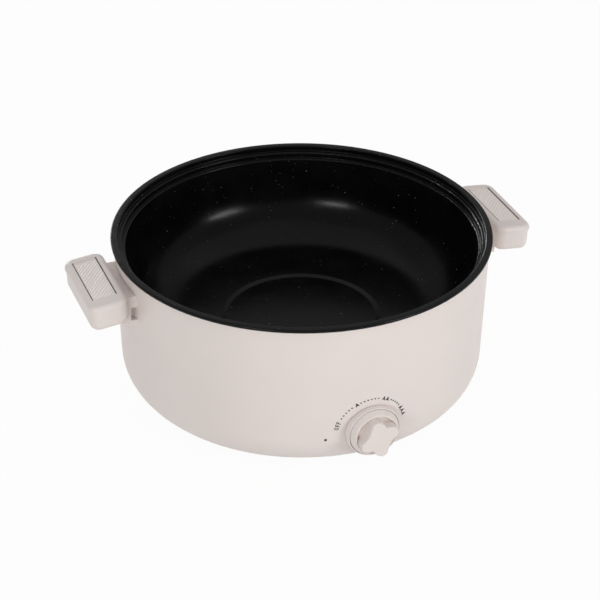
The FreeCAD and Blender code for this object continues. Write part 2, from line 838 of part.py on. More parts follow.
def make_outer_shell(skin, filled):
    """The shell with its bosses, and its holes for dial, lamp, inlet and screws."""
    bosses = []
    for k, angle in enumerate(base_screw_angles(), start=1):
        x = f"base_screw_circle * cos({angle})"
        y = f"base_screw_circle * sin({angle})"
        bosses.append(rod(f"base_boss_{k}", "base_boss_radius", "base_boss_height",
                          x, y, "base_height"))
    for side in (-1, 1):
        bosses.append(rod(f"bracket_boss_{side + 2}", "wall_boss_radius",
                          "knob_wall - bracket_front",
                          f"dial_x + {side} * bracket_boss_reach", "-bracket_front",
                          "knob_height", -Y_AXIS))
        bosses.append(rod(f"inlet_boss_{side + 2}", "wall_boss_radius",
                          "inlet_wall_radius - inlet_flange_front",
                          f"{side} * inlet_screw_reach", "inlet_flange_front", "inlet_height",
                          Y_AXIS))
    trimmed = common("shell_bosses", [fuse("shell_boss_rods", bosses), filled])
    solid = fuse("shell_solid", [skin, trimmed])

    pilot = "tapping_screw_radius + screw_gap"
    holes = [
        rod("shaft_hole", "shaft_hole_radius", "20", "dial_x", "-bracket_front",
            "knob_height", -Y_AXIS),
        block("inlet_window",
              "-inlet_width / 2 - inlet_window_gap", "inlet_width / 2 + inlet_window_gap",
              "inlet_flange_front", "rim_radius",
              "inlet_height - inlet_tall / 2 - inlet_window_gap",
              "inlet_height + inlet_tall / 2 + inlet_window_gap"),
    ]
    for k, angle in enumerate(base_screw_angles(), start=1):
        x = f"base_screw_circle * cos({angle})"
        y = f"base_screw_circle * sin({angle})"
        holes.append(rod(f"base_pilot_{k}", pilot, "base_boss_height + 1", x, y,
                         "base_height - 1"))
    for side in (-1, 1):
        holes.append(rod(f"bracket_pilot_{side + 2}", pilot, "wall_screw_bite + 1",
                         f"dial_x + {side} * bracket_boss_reach", "1 - bracket_front",
                         "knob_height", -Y_AXIS))
        holes.append(rod(f"inlet_pilot_{side + 2}", pilot, "wall_screw_bite + 1",
                         f"{side} * inlet_screw_reach", "inlet_flange_front - 1",
                         "inlet_height", Y_AXIS))
    holes.append(lens_hole())
    for side in (-1, 1):
        for place, direction in handle_screw_places(side):
            hole = rod("handle_screw_hole", "handle_screw_radius + screw_gap", "12",
                       str(place.x), str(place.y), str(place.z), direction)
            holes.append(hole)
    return cut("outer_shell", solid, fuse("shell_holes", holes))


# ---------------------------------------------------------------- base
def make_base_cover():
    """The slotted cover with a locating lip and holes for feet and screws."""
    body = spin("base_cover", [
        ("0", "foot_height"),
        ("cover_radius", "foot_height", "cover_edge_round"),
        ("cover_radius", "base_height"),
        ("base_opening_radius - fit_gap", "base_height"),
        ("base_opening_radius - fit_gap", "base_height + cover_lip_height"),
        ("base_opening_radius - fit_gap - cover_lip_width", "base_height + cover_lip_height"),
        ("base_opening_radius - fit_gap - cover_lip_width", "base_height"),
        ("0", "base_height"),
    ])
    vent = pocket(body, "XY_Plane", "base_height", "cover_thickness",
                  rectangle("vent_start_radius", "vent_start_radius + vent_length",
                            "-vent_width / 2", "vent_width / 2", "vent_width * 0.45"))
    repeat_round(body, [vent], "vent_count")
    circles = []
    for angle in base_screw_angles():
        circles.append((f"base_screw_circle * cos({angle})", f"base_screw_circle * sin({angle})",
                        "tapping_screw_radius + pass_gap"))
    for angle in foot_angles().values():
        circles.append((f"foot_circle_radius * cos({angle})", f"foot_circle_radius * sin({angle})",
                        "foot_stem_radius + screw_gap"))
    pocket(body, "XY_Plane", "base_height", "cover_thickness", *circles)
    return body


def foot_angles():
    """Each foot's name and its angle about the pot's axis."""
    return {"rear_right_foot": 45, "rear_left_foot": 135,
            "front_left_foot": 225, "front_right_foot": 315}


def make_foot(name, angle):
    """A rubber foot with a stem through the cover and a barb above it."""
    foot = spin(name, [
        ("0", "0"),
        ("foot_bottom_radius", "0", "foot_edge_round"),
        ("foot_top_radius", "foot_height"),
        ("foot_stem_radius", "foot_height"),
        ("foot_stem_radius", "base_height"),
        ("foot_barb_radius", "base_height"),
        ("foot_stem_radius - 0.6", "base_height + foot_barb_height"),
        ("0", "base_height + foot_barb_height"),
    ])
    return move(foot, f"foot_circle_radius * cos({angle})", f"foot_circle_radius * sin({angle})")


def make_base_screws():
    """The screws that hold the base cover to the shell's bosses."""
    radius = value("base_screw_circle")
    places = [(around(radius, angle, value("foot_height")), Z_AXIS)
              for angle in base_screw_angles()]
    sizes = ("tapping_screw_radius", "base_screw_length", "tapping_head_radius",
             "tapping_head_height")
    return set_of_screws("base_screws", sizes, places)


# ---------------------------------------------------------------- heater
def element_pipe(name, radius):
    """A tube of this radius along the element's path: a ring whose ends turn out to the back."""
    body = new_body(name)
    path = new_sketch(body, "XY_Plane", "plate_underside")
    ring_radius, bend = value("element_radius"), value("element_bend_radius")
    leg, leg_end = value("element_leg_offset"), value("element_end_y")
    turn = math.acos((leg + bend) / (ring_radius + bend))
    bend_x = leg + bend
    bend_y = (ring_radius + bend) * math.sin(turn)
    ring_circle = Part.Circle(Vector(0, 0, 0), Z_AXIS, ring_radius)
    ring = path.addGeometry(
        Part.ArcOfCircle(ring_circle, math.pi - turn, 2 * math.pi + turn))
    right_circle = Part.Circle(Vector(bend_x, bend_y, 0), Z_AXIS, bend)
    right_bend = path.addGeometry(
        Part.ArcOfCircle(right_circle, math.pi, math.pi + turn))
    left_circle = Part.Circle(Vector(-bend_x, bend_y, 0), Z_AXIS, bend)
    left_bend = path.addGeometry(
        Part.ArcOfCircle(left_circle, 2 * math.pi - turn, 2 * math.pi))
    right_leg = path.addGeometry(
        Part.LineSegment(Vector(leg, bend_y, 0), Vector(leg, leg_end, 0)))
    left_leg = path.addGeometry(
        Part.LineSegment(Vector(-leg, bend_y, 0), Vector(-leg, leg_end, 0)))
    path.addConstraint([
        Sketcher.Constraint("Coincident", ring, 3, -1, 1),
        Sketcher.Constraint("Tangent", ring, 2, right_bend, 2),
        Sketcher.Constraint("Tangent", ring, 1, left_bend, 1),
        Sketcher.Constraint("Tangent", right_bend, 1, right_leg, 1),
        Sketcher.Constraint("Tangent", left_bend, 2, left_leg, 1),
    ])
    hold_radius(path, ring, "element_radius")
    hold_radius(path, right_bend, "element_bend_radius")
    hold_radius(path, left_bend, "element_bend_radius")
    pin_point(path, right_leg, 2, "element_leg_offset", "element_end_y")
    pin_point(path, left_leg, 2, "-element_leg_offset", "element_end_y")
    path.addConstraint([
        Sketcher.Constraint("Vertical", right_leg),
        Sketcher.Constraint("Vertical", left_leg),
    ])
    section = new_sketch(body, "XZ_Plane", "-element_end_y")
    draw_circle(section, "-element_leg_offset", "plate_underside", radius)
    pipe = body.newObject("PartDesign::AdditivePipe", f"{name}_pipe")
    pipe.Profile = section
    pipe.Spine = (path, [])
    return body


def make_heater_plate(groove):
    """The aluminium plate under the pot, grooved for the element, with blind screw holes."""
    plate = spin("heater_plate_blank", [
        ("0", "plate_underside"),
        ("plate_radius", "plate_underside"),
        ("plate_radius", "plate_rim_top"),
        ("floor_ring_radius", "ring_height - pot_wall"),
        ("ring_inner_radius", "pot_underside"),
        ("0", "pot_underside"),
    ])
    holes = [groove]
    for k, place in enumerate(plate_screw_places(), start=1):
        holes.append(rod(f"plate_hole_{k}", "small_screw_radius + screw_gap",
                         "small_screw_bite + 0.3", place[0], place[1], "plate_underside"))
    return cut("heater_plate", plate, fuse("heater_plate_holes", holes))


def plate_screw_places():
    """Where the bulb clip's and the cut-out's screws enter the plate, as (x, y) formulas."""
    clip_reach = "(bulb_radius + clip_sheet + clip_flange / 2)"
    return [
        ("0", f"bulb_y - {clip_reach}"),
        ("0", f"bulb_y + {clip_reach}"),
        ("-cutout_hole_reach", "cutout_y"),
        ("cutout_hole_reach", "cutout_y"),
    ]


def make_element_ends():
    """The ceramic end seals of the element and the cold pins inside them."""
    seals = new_body("element_seals")
    pins = new_body("element_terminals")
    rings, bars = [], []
    for side in (-1, 1):
        x = f"{side} * element_leg_offset"
        rings += [(x, "plate_underside", "seal_radius"),
                  (x, "plate_underside", "terminal_radius + groove_gap")]
        bars.append((x, "plate_underside", "terminal_radius"))
    pad(seals, "XZ_Plane", "-element_end_y - seal_length", "seal_length", *rings)
    pad(pins, "XZ_Plane", "-element_end_y - terminal_length", "terminal_length", *bars)
    return seals, pins


def stud_angles():
    """The angles of the studs under the plate."""
    return [30, 150, 270]


def shield_pass_spots():
    """Where the capillary, the fuse's wire and the cut-out's wire pass the shield."""
    return [("capillary_pass_x", "bulb_y"), (block_way_x(3), "fuse_pass_y"),
            ("-cutout_pass_x", "cutout_y")]


def make_heat_shield():
    """The steel reflector dish, with holes for the studs, the capillary and two wires."""
    body = spin("heat_shield", [
        ("0", "shield_underside"),
        ("shield_radius", "shield_underside", "shield_round"),
        ("shield_radius", "shield_top + shield_lip_height"),
        ("shield_radius - shield_sheet", "shield_top + shield_lip_height"),
        ("shield_radius - shield_sheet", "shield_top", "shield_round - shield_sheet"),
        ("0", "shield_top"),
    ])
    holes = [(f"stud_circle_radius * cos({angle})", f"stud_circle_radius * sin({angle})",
              "stud_radius + pass_gap") for angle in stud_angles()]
    holes += [(x, y, "shield_pass_radius") for x, y in shield_pass_spots()]
    pocket(body, "XY_Plane", "shield_top", "shield_sheet", *holes)
    return body


def make_studs_and_nuts():
    """The welded studs that carry the shield, and a nut on each side of the shield."""
    studs = new_body("pot_studs")
    nuts = new_body("stud_nuts")
    reach = "plate_underside - shield_underside + stud_tail"
    first = stud_angles()[0]
    x = f"stud_circle_radius * cos({first})"
    y = f"stud_circle_radius * sin({first})"
    bar = pad(studs, "XY_Plane", "plate_underside", reach, (x, y, "stud_radius"), reverse=True)
    repeat_round(studs, [bar], str(len(stud_angles())))
    bore = (x, y, "stud_radius + groove_gap")
    lower = pad(nuts, "XY_Plane", "shield_underside - nut_height", "nut_height",
                hexagon(x, y, "nut_flat_radius"), bore)
    upper = pad(nuts, "XY_Plane", "shield_top", "nut_height",
                hexagon(x, y, "nut_flat_radius"), bore)
    repeat_round(nuts, [lower, upper], str(len(stud_angles())))
    return studs, nuts


# ---------------------------------------------------------------- sensing bulb and cut-out
def make_sensor_bulb():
    """The sensing bulb against the plate."""
    return rod("sensor_bulb", "bulb_radius", "bulb_length", "-bulb_length / 2", "bulb_y",
               "bulb_height", X_AXIS)


def make_bulb_clip():
    """The sheet saddle that holds the bulb up."""
    body = new_body("bulb_clip")
    inner = "bulb_radius + 0.15"
    outer = f"{inner} + clip_sheet"
    flange = "bulb_radius + clip_sheet + clip_flange"
    top = "plate_underside"
    under = "plate_underside - clip_sheet"
    low = "plate_underside - 2 * bulb_radius - 0.3"
    pad(body, "YZ_Plane", "-clip_length / 2", "clip_length", [
        (f"bulb_y - ({flange})", top),
        (f"bulb_y - ({flange})", under),
        (f"bulb_y - ({outer})", under),
        (f"bulb_y - ({outer})", f"{low} - clip_sheet", "bulb_radius"),
        (f"bulb_y + {outer}", f"{low} - clip_sheet", "bulb_radius"),
        (f"bulb_y + {outer}", under),
        (f"bulb_y + {flange}", under),
        (f"bulb_y + {flange}", top),
        (f"bulb_y + {inner}", top),
        (f"bulb_y + {inner}", low, "bulb_radius - 0.6"),
        (f"bulb_y - ({inner})", low, "bulb_radius - 0.6"),
        (f"bulb_y - ({inner})", top),
    ])
    places = plate_screw_places()[:2]
    pocket(body, "XY_Plane", top, "clip_sheet + 0.5",
           *[(x, y, "small_screw_radius + pass_gap") for x, y in places])
    return body


def make_small_screws(name, places, head_seat):
    """Small screws that enter the plate from below."""
    length = f"plate_underside - ({head_seat}) + small_screw_bite"
    sizes = ("small_screw_radius", length, "small_head_radius", "small_head_height")
    return set_of_screws(name, sizes, [(spot(x, y, head_seat), Z_AXIS) for x, y in places])


def make_overheat_cutout():
    """The disc cut-out: a round body with two ears and two blades."""
    x_low, x_high = "-cutout_ear_reach", "cutout_ear_reach"
    ear_top = "plate_underside - cutout_ear_drop"
    body = new_body("overheat_cutout")
    pad(body, "XY_Plane", "plate_underside - cutout_height", "cutout_height",
        ("0", "cutout_y", "cutout_radius"))
    pad(body, "XY_Plane", f"{ear_top} - cutout_ear_sheet", "cutout_ear_sheet",
        rectangle(x_low, x_high, "cutout_y - cutout_ear_width / 2",
                  "cutout_y + cutout_ear_width / 2", "cutout_ear_width * 0.4"))
    pocket(body, "XY_Plane", ear_top, "cutout_ear_sheet",
           *[(x, y, "small_screw_radius + pass_gap") for x, y in plate_screw_places()[2:]])
    for side in (-1, 1):
        x = f"{side} * cutout_radius * 0.5"
        pad(body, "XY_Plane", "plate_underside - cutout_height", "cutout_blade_length",
            rectangle(f"{x} - cutout_blade_sheet / 2", f"{x} + cutout_blade_sheet / 2",
                      "cutout_y - cutout_blade_width / 2", "cutout_y + cutout_blade_width / 2"),
            reverse=True)
    return body


# ---------------------------------------------------------------- thermostat
def make_thermostat():
    """The thermostat's housing with its collar and two blades, bored for the shaft."""
    pieces = [
        block("thermostat_housing",
              "dial_x - thermostat_width / 2", "dial_x + thermostat_width / 2",
              "-bracket_back", "thermostat_depth - bracket_back",
              "knob_height - thermostat_width / 2", "knob_height + thermostat_width / 2"),
        rod("thermostat_collar", "collar_radius", "collar_length + 1",
            "dial_x", "1 - bracket_back", "knob_height", -Y_AXIS),
    ]
    for side in (-1, 1):
        x = f"dial_x + {side} * thermostat_blade_spread"
        pieces.append(block(
            f"thermostat_blade_{side + 2}",
            f"{x} - cutout_blade_sheet / 2", f"{x} + cutout_blade_sheet / 2",
            "thermostat_depth - bracket_back - 1",
            "thermostat_depth - bracket_back + thermostat_blade_length",
            "knob_height - cutout_blade_width / 2", "knob_height + cutout_blade_width / 2"))
    bore = rod("thermostat_bore", "shaft_radius + shaft_gap",
               "thermostat_depth * 0.7 + collar_length + 1",
               "dial_x", "thermostat_depth * 0.7 - bracket_back", "knob_height", -Y_AXIS)
    return cut("thermostat_body", fuse("thermostat_solid", pieces), bore)


def make_thermostat_bracket():
    """The sheet bracket between the thermostat and the shell's bosses."""
    body = new_body("thermostat_bracket")
    pad(body, "XZ_Plane", "bracket_back", "bracket_sheet",
        rectangle("dial_x - bracket_length / 2", "dial_x + bracket_length / 2",
                  "knob_height - bracket_width / 2", "knob_height + bracket_width / 2",
                  "wall_boss_radius"),
        ("dial_x", "knob_height", "collar_radius + screw_gap"),
        ("dial_x - bracket_boss_reach", "knob_height", "tapping_screw_radius + pass_gap"),
        ("dial_x + bracket_boss_reach", "knob_height", "tapping_screw_radius + pass_gap"))
    return body


def make_thermostat_nut():
    """The nut on the collar, in front of the bracket."""
    body = new_body("thermostat_nut")
    pad(body, "XZ_Plane", "bracket_front", "collar_nut_height",
        hexagon("dial_x", "knob_height", "collar_nut_flat_radius"),
        ("dial_x", "knob_height", "collar_radius + groove_gap"))
    return body


def make_thermostat_screws():
    """The screws from the bracket into the shell's bosses."""
    sizes = ("tapping_screw_radius", "bracket_sheet + wall_screw_bite - 0.3",
             "tapping_head_radius", "tapping_head_height")
    places = [(spot(f"dial_x + {side} * bracket_boss_reach", "-bracket_back", "knob_height"),
               -Y_AXIS) for side in (-1, 1)]
    return set_of_screws("thermostat_screws", sizes, places)


def dial_rotation():
    """Turns a piece drawn upright about +Z to face -Y, at the dial's rest angle."""
    return Rotation(X_AXIS, 90) * Rotation(Z_AXIS, -value("knob_rest_angle"))


def place_on_dial(thing):
    """Put a piece whose local origin is where the dial's axis meets the wall."""
    return move(thing, "dial_x", "-knob_wall", "knob_height", dial_rotation())


def make_thermostat_shaft():
    """The thermostat's shaft, with a flat where the knob grips it."""
    back = "-(knob_wall - bracket_back) - thermostat_depth * 0.6"
    shaft = new_body("thermostat_shaft")
    pad(shaft, "XY_Plane", back, f"shaft_reach - ({back})", ("0", "0", "shaft_radius"))
    pocket(shaft, "XY_Plane", "shaft_reach", "shaft_reach",
           rectangle("-shaft_radius - 1", "shaft_radius + 1", "shaft_flat",
                     "shaft_radius + 1"))
    return place_on_dial(shaft)


def knob_grip_corners():
    """The grip seen from the front: a block with a notch in each end and waisted sides."""
    corners = []
    for turn in (1, -1):
        half_length, half_width = f"{turn} * grip_length / 2", f"{turn} * grip_width / 2"
        notch = f"{turn} * grip_notch_width / 2"
        waist = f"{turn} * grip_waist_length / 2"
        corners += [
            (half_width, half_length, "grip_corner_round"),
            (notch, half_length, "grip_notch_edge_round"),
            ("0", f"{turn} * (grip_length / 2 - grip_notch_depth)", "grip_notch_round"),
            (f"-({notch})", half_length, "grip_notch_edge_round"),
            (f"-({half_width})", half_length, "grip_corner_round"),
            (f"-({half_width})", waist, "grip_waist_edge_round"),
            (f"{-turn} * (grip_width / 2 - grip_waist_depth)", "0", "grip_waist_round"),
            (f"-({half_width})", f"-({waist})", "grip_waist_edge_round"),
        ]
    return corners


def knob_grip_hollow():
    """The hollow behind the grip, which stays inside the notches and the waist."""
    half_width = "(grip_width / 2 - grip_waist_depth - grip_wall)"
    half_length = "(grip_length / 2 - grip_notch_depth - grip_wall)"
    return rectangle(f"-{half_width}", half_width, f"-{half_length}", half_length,
                     "grip_corner_round / 2")


def make_knob():
    """The knob: a tapered, dished skirt with a raised grip, hollow behind, and a D bore."""
    body = spin("knob_blank", [
        ("0", "knob_clearance - 1"),
        ("knob_hub_radius", "knob_clearance - 1"),
        ("knob_hub_radius", "knob_hollow_height"),
        ("knob_inner_round_radius", "knob_hollow_height", "1"),
        ("knob_inner_round_radius", "knob_clearance"),
        ("knob_skirt_radius", "knob_clearance"),
        ("knob_skirt_radius", "knob_skirt_height - knob_cone_height", "2"),
        ("knob_front_radius", "knob_skirt_height", "1"),
        ("knob_front_radius - knob_rim_width", "knob_skirt_height", "0.4"),
        ("knob_front_radius - knob_rim_width - 1.6", "knob_dish_height", "1"),
        ("0", "knob_dish_height + 0.6"),
    ])
    pad(body, "XY_Plane", "knob_dish_height - 0.8",
        "knob_protrusion - knob_dish_height + 0.8", knob_grip_corners())
    front = value("knob_protrusion")
    round_edges(body, "knob_edge_round", lambda edge: lies_flat_at(edge, front))
    hub = ("0", "0", "knob_hub_radius")
    pocket(body, "XY_Plane", "0", "knob_protrusion - grip_wall", knob_grip_hollow(), hub,
           reverse=True)
    round_bore = rod("knob_bore_rod", "shaft_radius + shaft_gap", "shaft_reach + 0.5",
                     "0", "0", "0")
    flat = block("knob_bore_flat", "-knob_hub_radius", "knob_hub_radius",
                 "shaft_flat + shaft_gap", "knob_hub_radius", "-1", "knob_protrusion")
    return place_on_dial(cut("knob", body, cut("knob_bore", round_bore, flat)))


def make_knob_spring():
    """The open ring spring round the knob's hub."""
    body = new_body("knob_spring")
    inner = "knob_hub_radius + groove_gap"
    low = "knob_hollow_height - spring_width - 0.2"
    sketch = new_sketch(body, "XZ_Plane")
    draw_outline(sketch, rectangle(inner, f"{inner} + spring_sheet", low, f"{low} + spring_width"))
    turn = add_feature(body, "Revolution", sketch, ReferenceAxis=(sketch, ["V_Axis"]))
    turn.setExpression("Angle", bound("360 - spring_gap_angle"))
    return place_on_dial(body)


def make_knob_bezel(filled):
    """The bezel ring, whose back follows the shell and leaves a fine groove round its foot."""
    ring = spin("knob_bezel_blank", [
        ("bezel_inner_radius", "-bezel_back"),
        ("bezel_outer_radius", "-bezel_back"),
        ("bezel_outer_radius", "bezel_height * 0.4"),
        ("bezel_outer_radius - bezel_taper", "bezel_height", "bezel_round"),
        ("bezel_inner_radius", "bezel_height", "bezel_inner_round"),
    ])
    move(ring, "dial_x", "-knob_wall", "knob_height", Rotation(X_AXIS, 90))
    seat = copy_of(filled, "bezel_seat", spot("0", "-bezel_groove_height", "0"), Rotation())
    edge = cut("bezel_groove_edge", rod("bezel_reach", "bezel_outer_radius + 1", "bezel_back * 2",
                                        "dial_x", "-knob_wall - bezel_back", "knob_height",
                                        Y_AXIS),
               rod("bezel_foot", "bezel_outer_radius - bezel_groove_width", "bezel_back * 2",
                   "dial_x", "-knob_wall - bezel_back", "knob_height", Y_AXIS))
    groove = common("bezel_groove", [edge, seat])
    return cut("knob_bezel", ring, fuse("bezel_cuts", [filled, groove]))


# ---------------------------------------------------------------- pilot lamp
def lamp_direction():
    """The outward direction of the wall at the lamp."""
    return radial_direction(value("lamp_x"), value("lamp_wall"))


def place_on_lamp(thing):
    """Put a piece whose local origin is on the shell's surface at the lamp, facing out."""
    direction = lamp_direction()
    place = direction * value("lamp_wall") + Z_AXIS * value("lamp_height")
    thing.Placement = FreeCAD.Placement(place, Rotation(Z_AXIS, direction))
    return thing


def lens_hole():
    """The hole in the shell for the lens."""
    direction = lamp_direction()
    start = direction * (value("lamp_wall") - value("lens_stem")) + Z_AXIS * value("lamp_height")
    return rod("lens_hole", "lens_radius + screw_gap", "lens_stem * 2", str(start.x), str(start.y),
               str(start.z), direction)


def make_lamp_parts():
    """The lens through the wall, the neon lamp behind it and the sleeve that holds the lamp."""
    lens = place_on_lamp(spin("indicator_lens", [
        ("0", "-lens_stem"),
        ("lens_radius", "-lens_stem"),
        ("lens_radius", "0.08"),
        ("lens_radius + lens_flange", "0.08"),
        ("lens_radius + lens_flange", "0.3"),
        ("lens_radius * 0.5", "lens_dome"),
        ("0", "lens_dome"),
    ]))
    seat = "-shell_wall - lamp_sleeve_gap"
    sleeve = place_on_lamp(spin("lamp_holder", [
        ("lamp_radius + lamp_side_gap", f"{seat} - lamp_sleeve_length"),
        ("lamp_sleeve_radius", f"{seat} - lamp_sleeve_length"),
        ("lamp_sleeve_radius", seat),
        ("lamp_radius + lamp_side_gap", seat),
    ]))
    lamp = place_on_lamp(spin("indicator_lamp", [
        ("0", "-lens_stem - lamp_front_gap - lamp_length"),
        ("lamp_radius", "-lens_stem - lamp_front_gap - lamp_length"),
        ("lamp_radius", "-lens_stem - lamp_front_gap", "lamp_tip_round"),
        ("0", "-lens_stem - lamp_front_gap"),
    ]))
    return lens, sleeve, lamp


# ---------------------------------------------------------------- handles
def place_on_handle(thing):
    """Put a piece drawn in the handle's own frame: its origin is the top inner edge."""
    return move(thing, "handle_inner_x", "0", "handle_top",
                Rotation(Y_AXIS, value("handle_tilt")))


def handle_outline(inset):
    """The handle block seen from above, drawn in by an inset."""
    return rectangle(inset, f"handle_width - {inset}", f"-handle_length / 2 + {inset}",
                     f"handle_length / 2 - {inset}", f"handle_corner_round - {inset}")


def handle_cavity(gap):
    """The hollow in the handle block, drawn in by a gap."""
    wall = f"cap_overhang + handle_wall + ({gap})"
    return rectangle(f"handle_root_wall + ({gap})", f"handle_width - ({wall})",
                     f"-handle_length / 2 + {wall}", f"handle_length / 2 - ({wall})",
                     f"handle_corner_round - ({wall})")


def cap_screw_spots():
    """The cap screws' places in the handle's own frame."""
    return [("cap_screw_x", f"{side} * cap_screw_y") for side in (-1, 1)]


def handle_screw_places(side):
    """Where the mounting screws' heads sit, and which way they point, on one side."""
    radius = value("handle_plate_radius")
    lift = Z_AXIS * value("handle_screw_height")
    places = []
    for y_side in (-1, 1):
        angle = math.asin(value("handle_screw_y") / radius) * y_side
        direction = Vector(side * math.cos(angle), math.sin(angle), 0)
        places.append((direction * radius + lift, direction))
    return places


def make_handle_body(filled):
    """The lower handle moulding: a hollow block and the neck that meets the shell."""
    tray = new_body("handle_tray")
    seam = "-handle_cap_height - cap_seam_gap"
    profile = new_sketch(tray, "XZ_Plane")
    draw_outline(profile, [
        ("cap_overhang", seam),
        ("handle_inner_lean", "-handle_block_height"),
        ("handle_width + handle_outer_lean", "-handle_block_height"),
        ("handle_width - cap_overhang", seam),
    ])
    length = add_feature(tray, "Pad", profile, Midplane=True)
    length.setExpression("Length", bound("handle_length - 2 * cap_overhang"))
    upright = value("handle_body_height") * 0.9
    round_edges(tray, "handle_corner_round - cap_overhang",
                lambda edge: edge.BoundBox.ZLength > upright)
    bottom = value("-handle_block_height")
    round_edges(tray, "handle_bottom_round", lambda edge: lies_flat_at(edge, bottom))
    pocket(tray, "XY_Plane", seam, "handle_body_height - cap_seam_gap - handle_wall",
           handle_cavity("0"))
    floor = "handle_wall - handle_block_height"
    pad(tray, "XY_Plane", floor, "well_height - handle_wall",
        *[(x, y, "well_radius") for x, y in cap_screw_spots()])
    pocket(tray, "XY_Plane", "-handle_block_height", "well_bore_depth",
           *[(x, y, "tapping_head_radius + pass_gap") for x, y in cap_screw_spots()],
           reverse=True)
    pocket(tray, "XY_Plane", "-handle_block_height", "well_height + 1",
           *[(x, y, "tapping_screw_radius + pass_gap") for x, y in cap_screw_spots()],
           reverse=True)
    place_on_handle(tray)

    neck = block("handle_neck", "shell_foot_radius - 20", "handle_inner_x + handle_root_wall / 3",
                 "-neck_length / 2", "neck_length / 2", "neck_bottom", "neck_top")
    slots = []
    end_x = "sqrt(shell_top_radius ^ 2 - (neck_length / 2) ^ 2)"
    for side in (-1, 1):
        y_end = f"{side} * (neck_length - neck_slot_depth + 1) / 2"
        slots.append(block(f"neck_slot_{side + 2}", f"{end_x} - 2", f"{end_x} + neck_slot_width",
                           f"{y_end} - neck_slot_depth / 2", f"{y_end} + neck_slot_depth / 2",
                           "neck_bottom + neck_slot_lift",
                           "neck_bottom + neck_slot_lift + neck_slot_height"))
    for place, direction in handle_screw_places(1):
        slots.append(rod("handle_pilot", "handle_screw_radius + screw_gap",
                         "handle_screw_length + 0.5",
                         str(place.x), str(place.y), str(place.z), direction))
    solid = fuse("handle_solid", [tray, neck])
    return cut("right_handle_body", solid, fuse("handle_cuts", [filled] + slots))


def panel_recess():
    """The recess in the cap, seen from above."""
    return rectangle("panel_centre_x - panel_recess_width / 2",
                     "panel_centre_x + panel_recess_width / 2",
                     "panel_centre_y - panel_recess_length / 2",
                     "panel_centre_y + panel_recess_length / 2")


def make_handle_cap():
    """The cap: a rounded lid, a recess on top, a step, a plug and two screw bosses below."""
    cap = new_body("right_handle_cap")
    pad(cap, "XY_Plane", "-handle_cap_height", "handle_cap_height", handle_outline("0"))
    round_edges(cap, "handle_top_round", lambda edge: lies_flat_at(edge, 0.0))
    pocket(cap, "XY_Plane", "0", "panel_recess_depth", panel_recess())
    pad(cap, "XY_Plane", "-handle_cap_height", "cap_seam_gap", handle_outline("cap_seam_depth"),
        reverse=True)
    pad(cap, "XY_Plane", "-handle_cap_height", "cap_lip_height", handle_cavity("fit_gap"),
        reverse=True)
    boss_length = "handle_body_height - well_height - 0.05"
    pad(cap, "XY_Plane", "-handle_cap_height", boss_length,
        *[(x, y, "cap_boss_radius") for x, y in cap_screw_spots()], reverse=True)
    pocket(cap, "XY_Plane", f"-handle_cap_height - ({boss_length})",
           "cap_screw_length - well_height + well_bore_depth + 0.5",
           *[(x, y, "tapping_screw_radius + screw_gap") for x, y in cap_screw_spots()],
           reverse=True)
    return place_on_handle(cap)


def make_handle_panel():
    """The textured insert in the cap's recess."""
    panel = new_body("right_handle_panel")
    pad(panel, "XY_Plane", "-panel_recess_depth", "panel_thickness",
        rectangle("panel_centre_x - panel_width / 2 + panel_gap",
                  "panel_centre_x + panel_width / 2 - panel_gap",
                  "panel_centre_y - panel_recess_length / 2 + panel_gap",
                  "panel_centre_y + panel_recess_length / 2 - panel_gap"))
    return place_on_handle(panel)


def make_handle_trims():
    """The two thin strips along the insert's long edges."""
    trims = new_body("right_handle_trims")
    outlines = []
    for side in (-1, 1):
        middle = f"panel_centre_x + {side} * (panel_recess_width - trim_width) / 2"
        outlines.append(rectangle(f"{middle} - trim_width / 2 + panel_gap / 2",
                                  f"{middle} + trim_width / 2 - panel_gap / 2",
                                  "panel_centre_y - panel_recess_length / 2 + panel_gap",
                                  "panel_centre_y + panel_recess_length / 2 - panel_gap"))
    pad(trims, "XY_Plane", "-panel_recess_depth", "trim_height", *outlines)
    return place_on_handle(trims)


def make_handle_plate(hollow):
    """The curved steel plate inside the shell that the mounting screws pull on."""
    bar = block("handle_plate_bar", "handle_plate_radius * 0.9", "rim_radius",
                "-handle_plate_length / 2", "handle_plate_length / 2",
                "handle_screw_height - handle_plate_height / 2",
                "handle_screw_height + handle_plate_height / 2")
    inside = rod("handle_plate_inside", "handle_plate_radius", "overall_height", "0", "0", "0")
    holes = [inside]
    for place, direction in handle_screw_places(1):
        start = place - direction * 3
        holes.append(rod("handle_plate_hole", "handle_screw_radius + screw_gap", "12",
                         str(start.x), str(start.y), str(start.z), direction))
    sheet = common("handle_plate_sheet_form", [bar, hollow])
    plate = cut("right_handle_plate", sheet, fuse("handle_plate_cuts", holes))
    return move(plate, "-handle_plate_gap", "0", "0")


def make_handle_screws():
    """The mounting screws from inside the shell, and the cap screws from below."""
    sizes = ("handle_screw_radius", "handle_screw_length", "handle_screw_head_radius",
             "handle_screw_head_height")
    slack = value("handle_plate_gap") + 0.08
    places = [(place - direction * slack, direction) for place, direction in handle_screw_places(1)]
    mount = set_of_screws("right_handle_mount_screws", sizes, places)
    sizes = ("tapping_screw_radius", "cap_screw_length", "tapping_head_radius",
             "tapping_head_height")
    seat = "well_bore_depth - handle_block_height"
    places = [(spot(x, y, seat), Z_AXIS) for x, y in cap_screw_spots()]
    caps = place_on_handle(set_of_screws("right_handle_cap_screws", sizes, places))
    return mount, caps


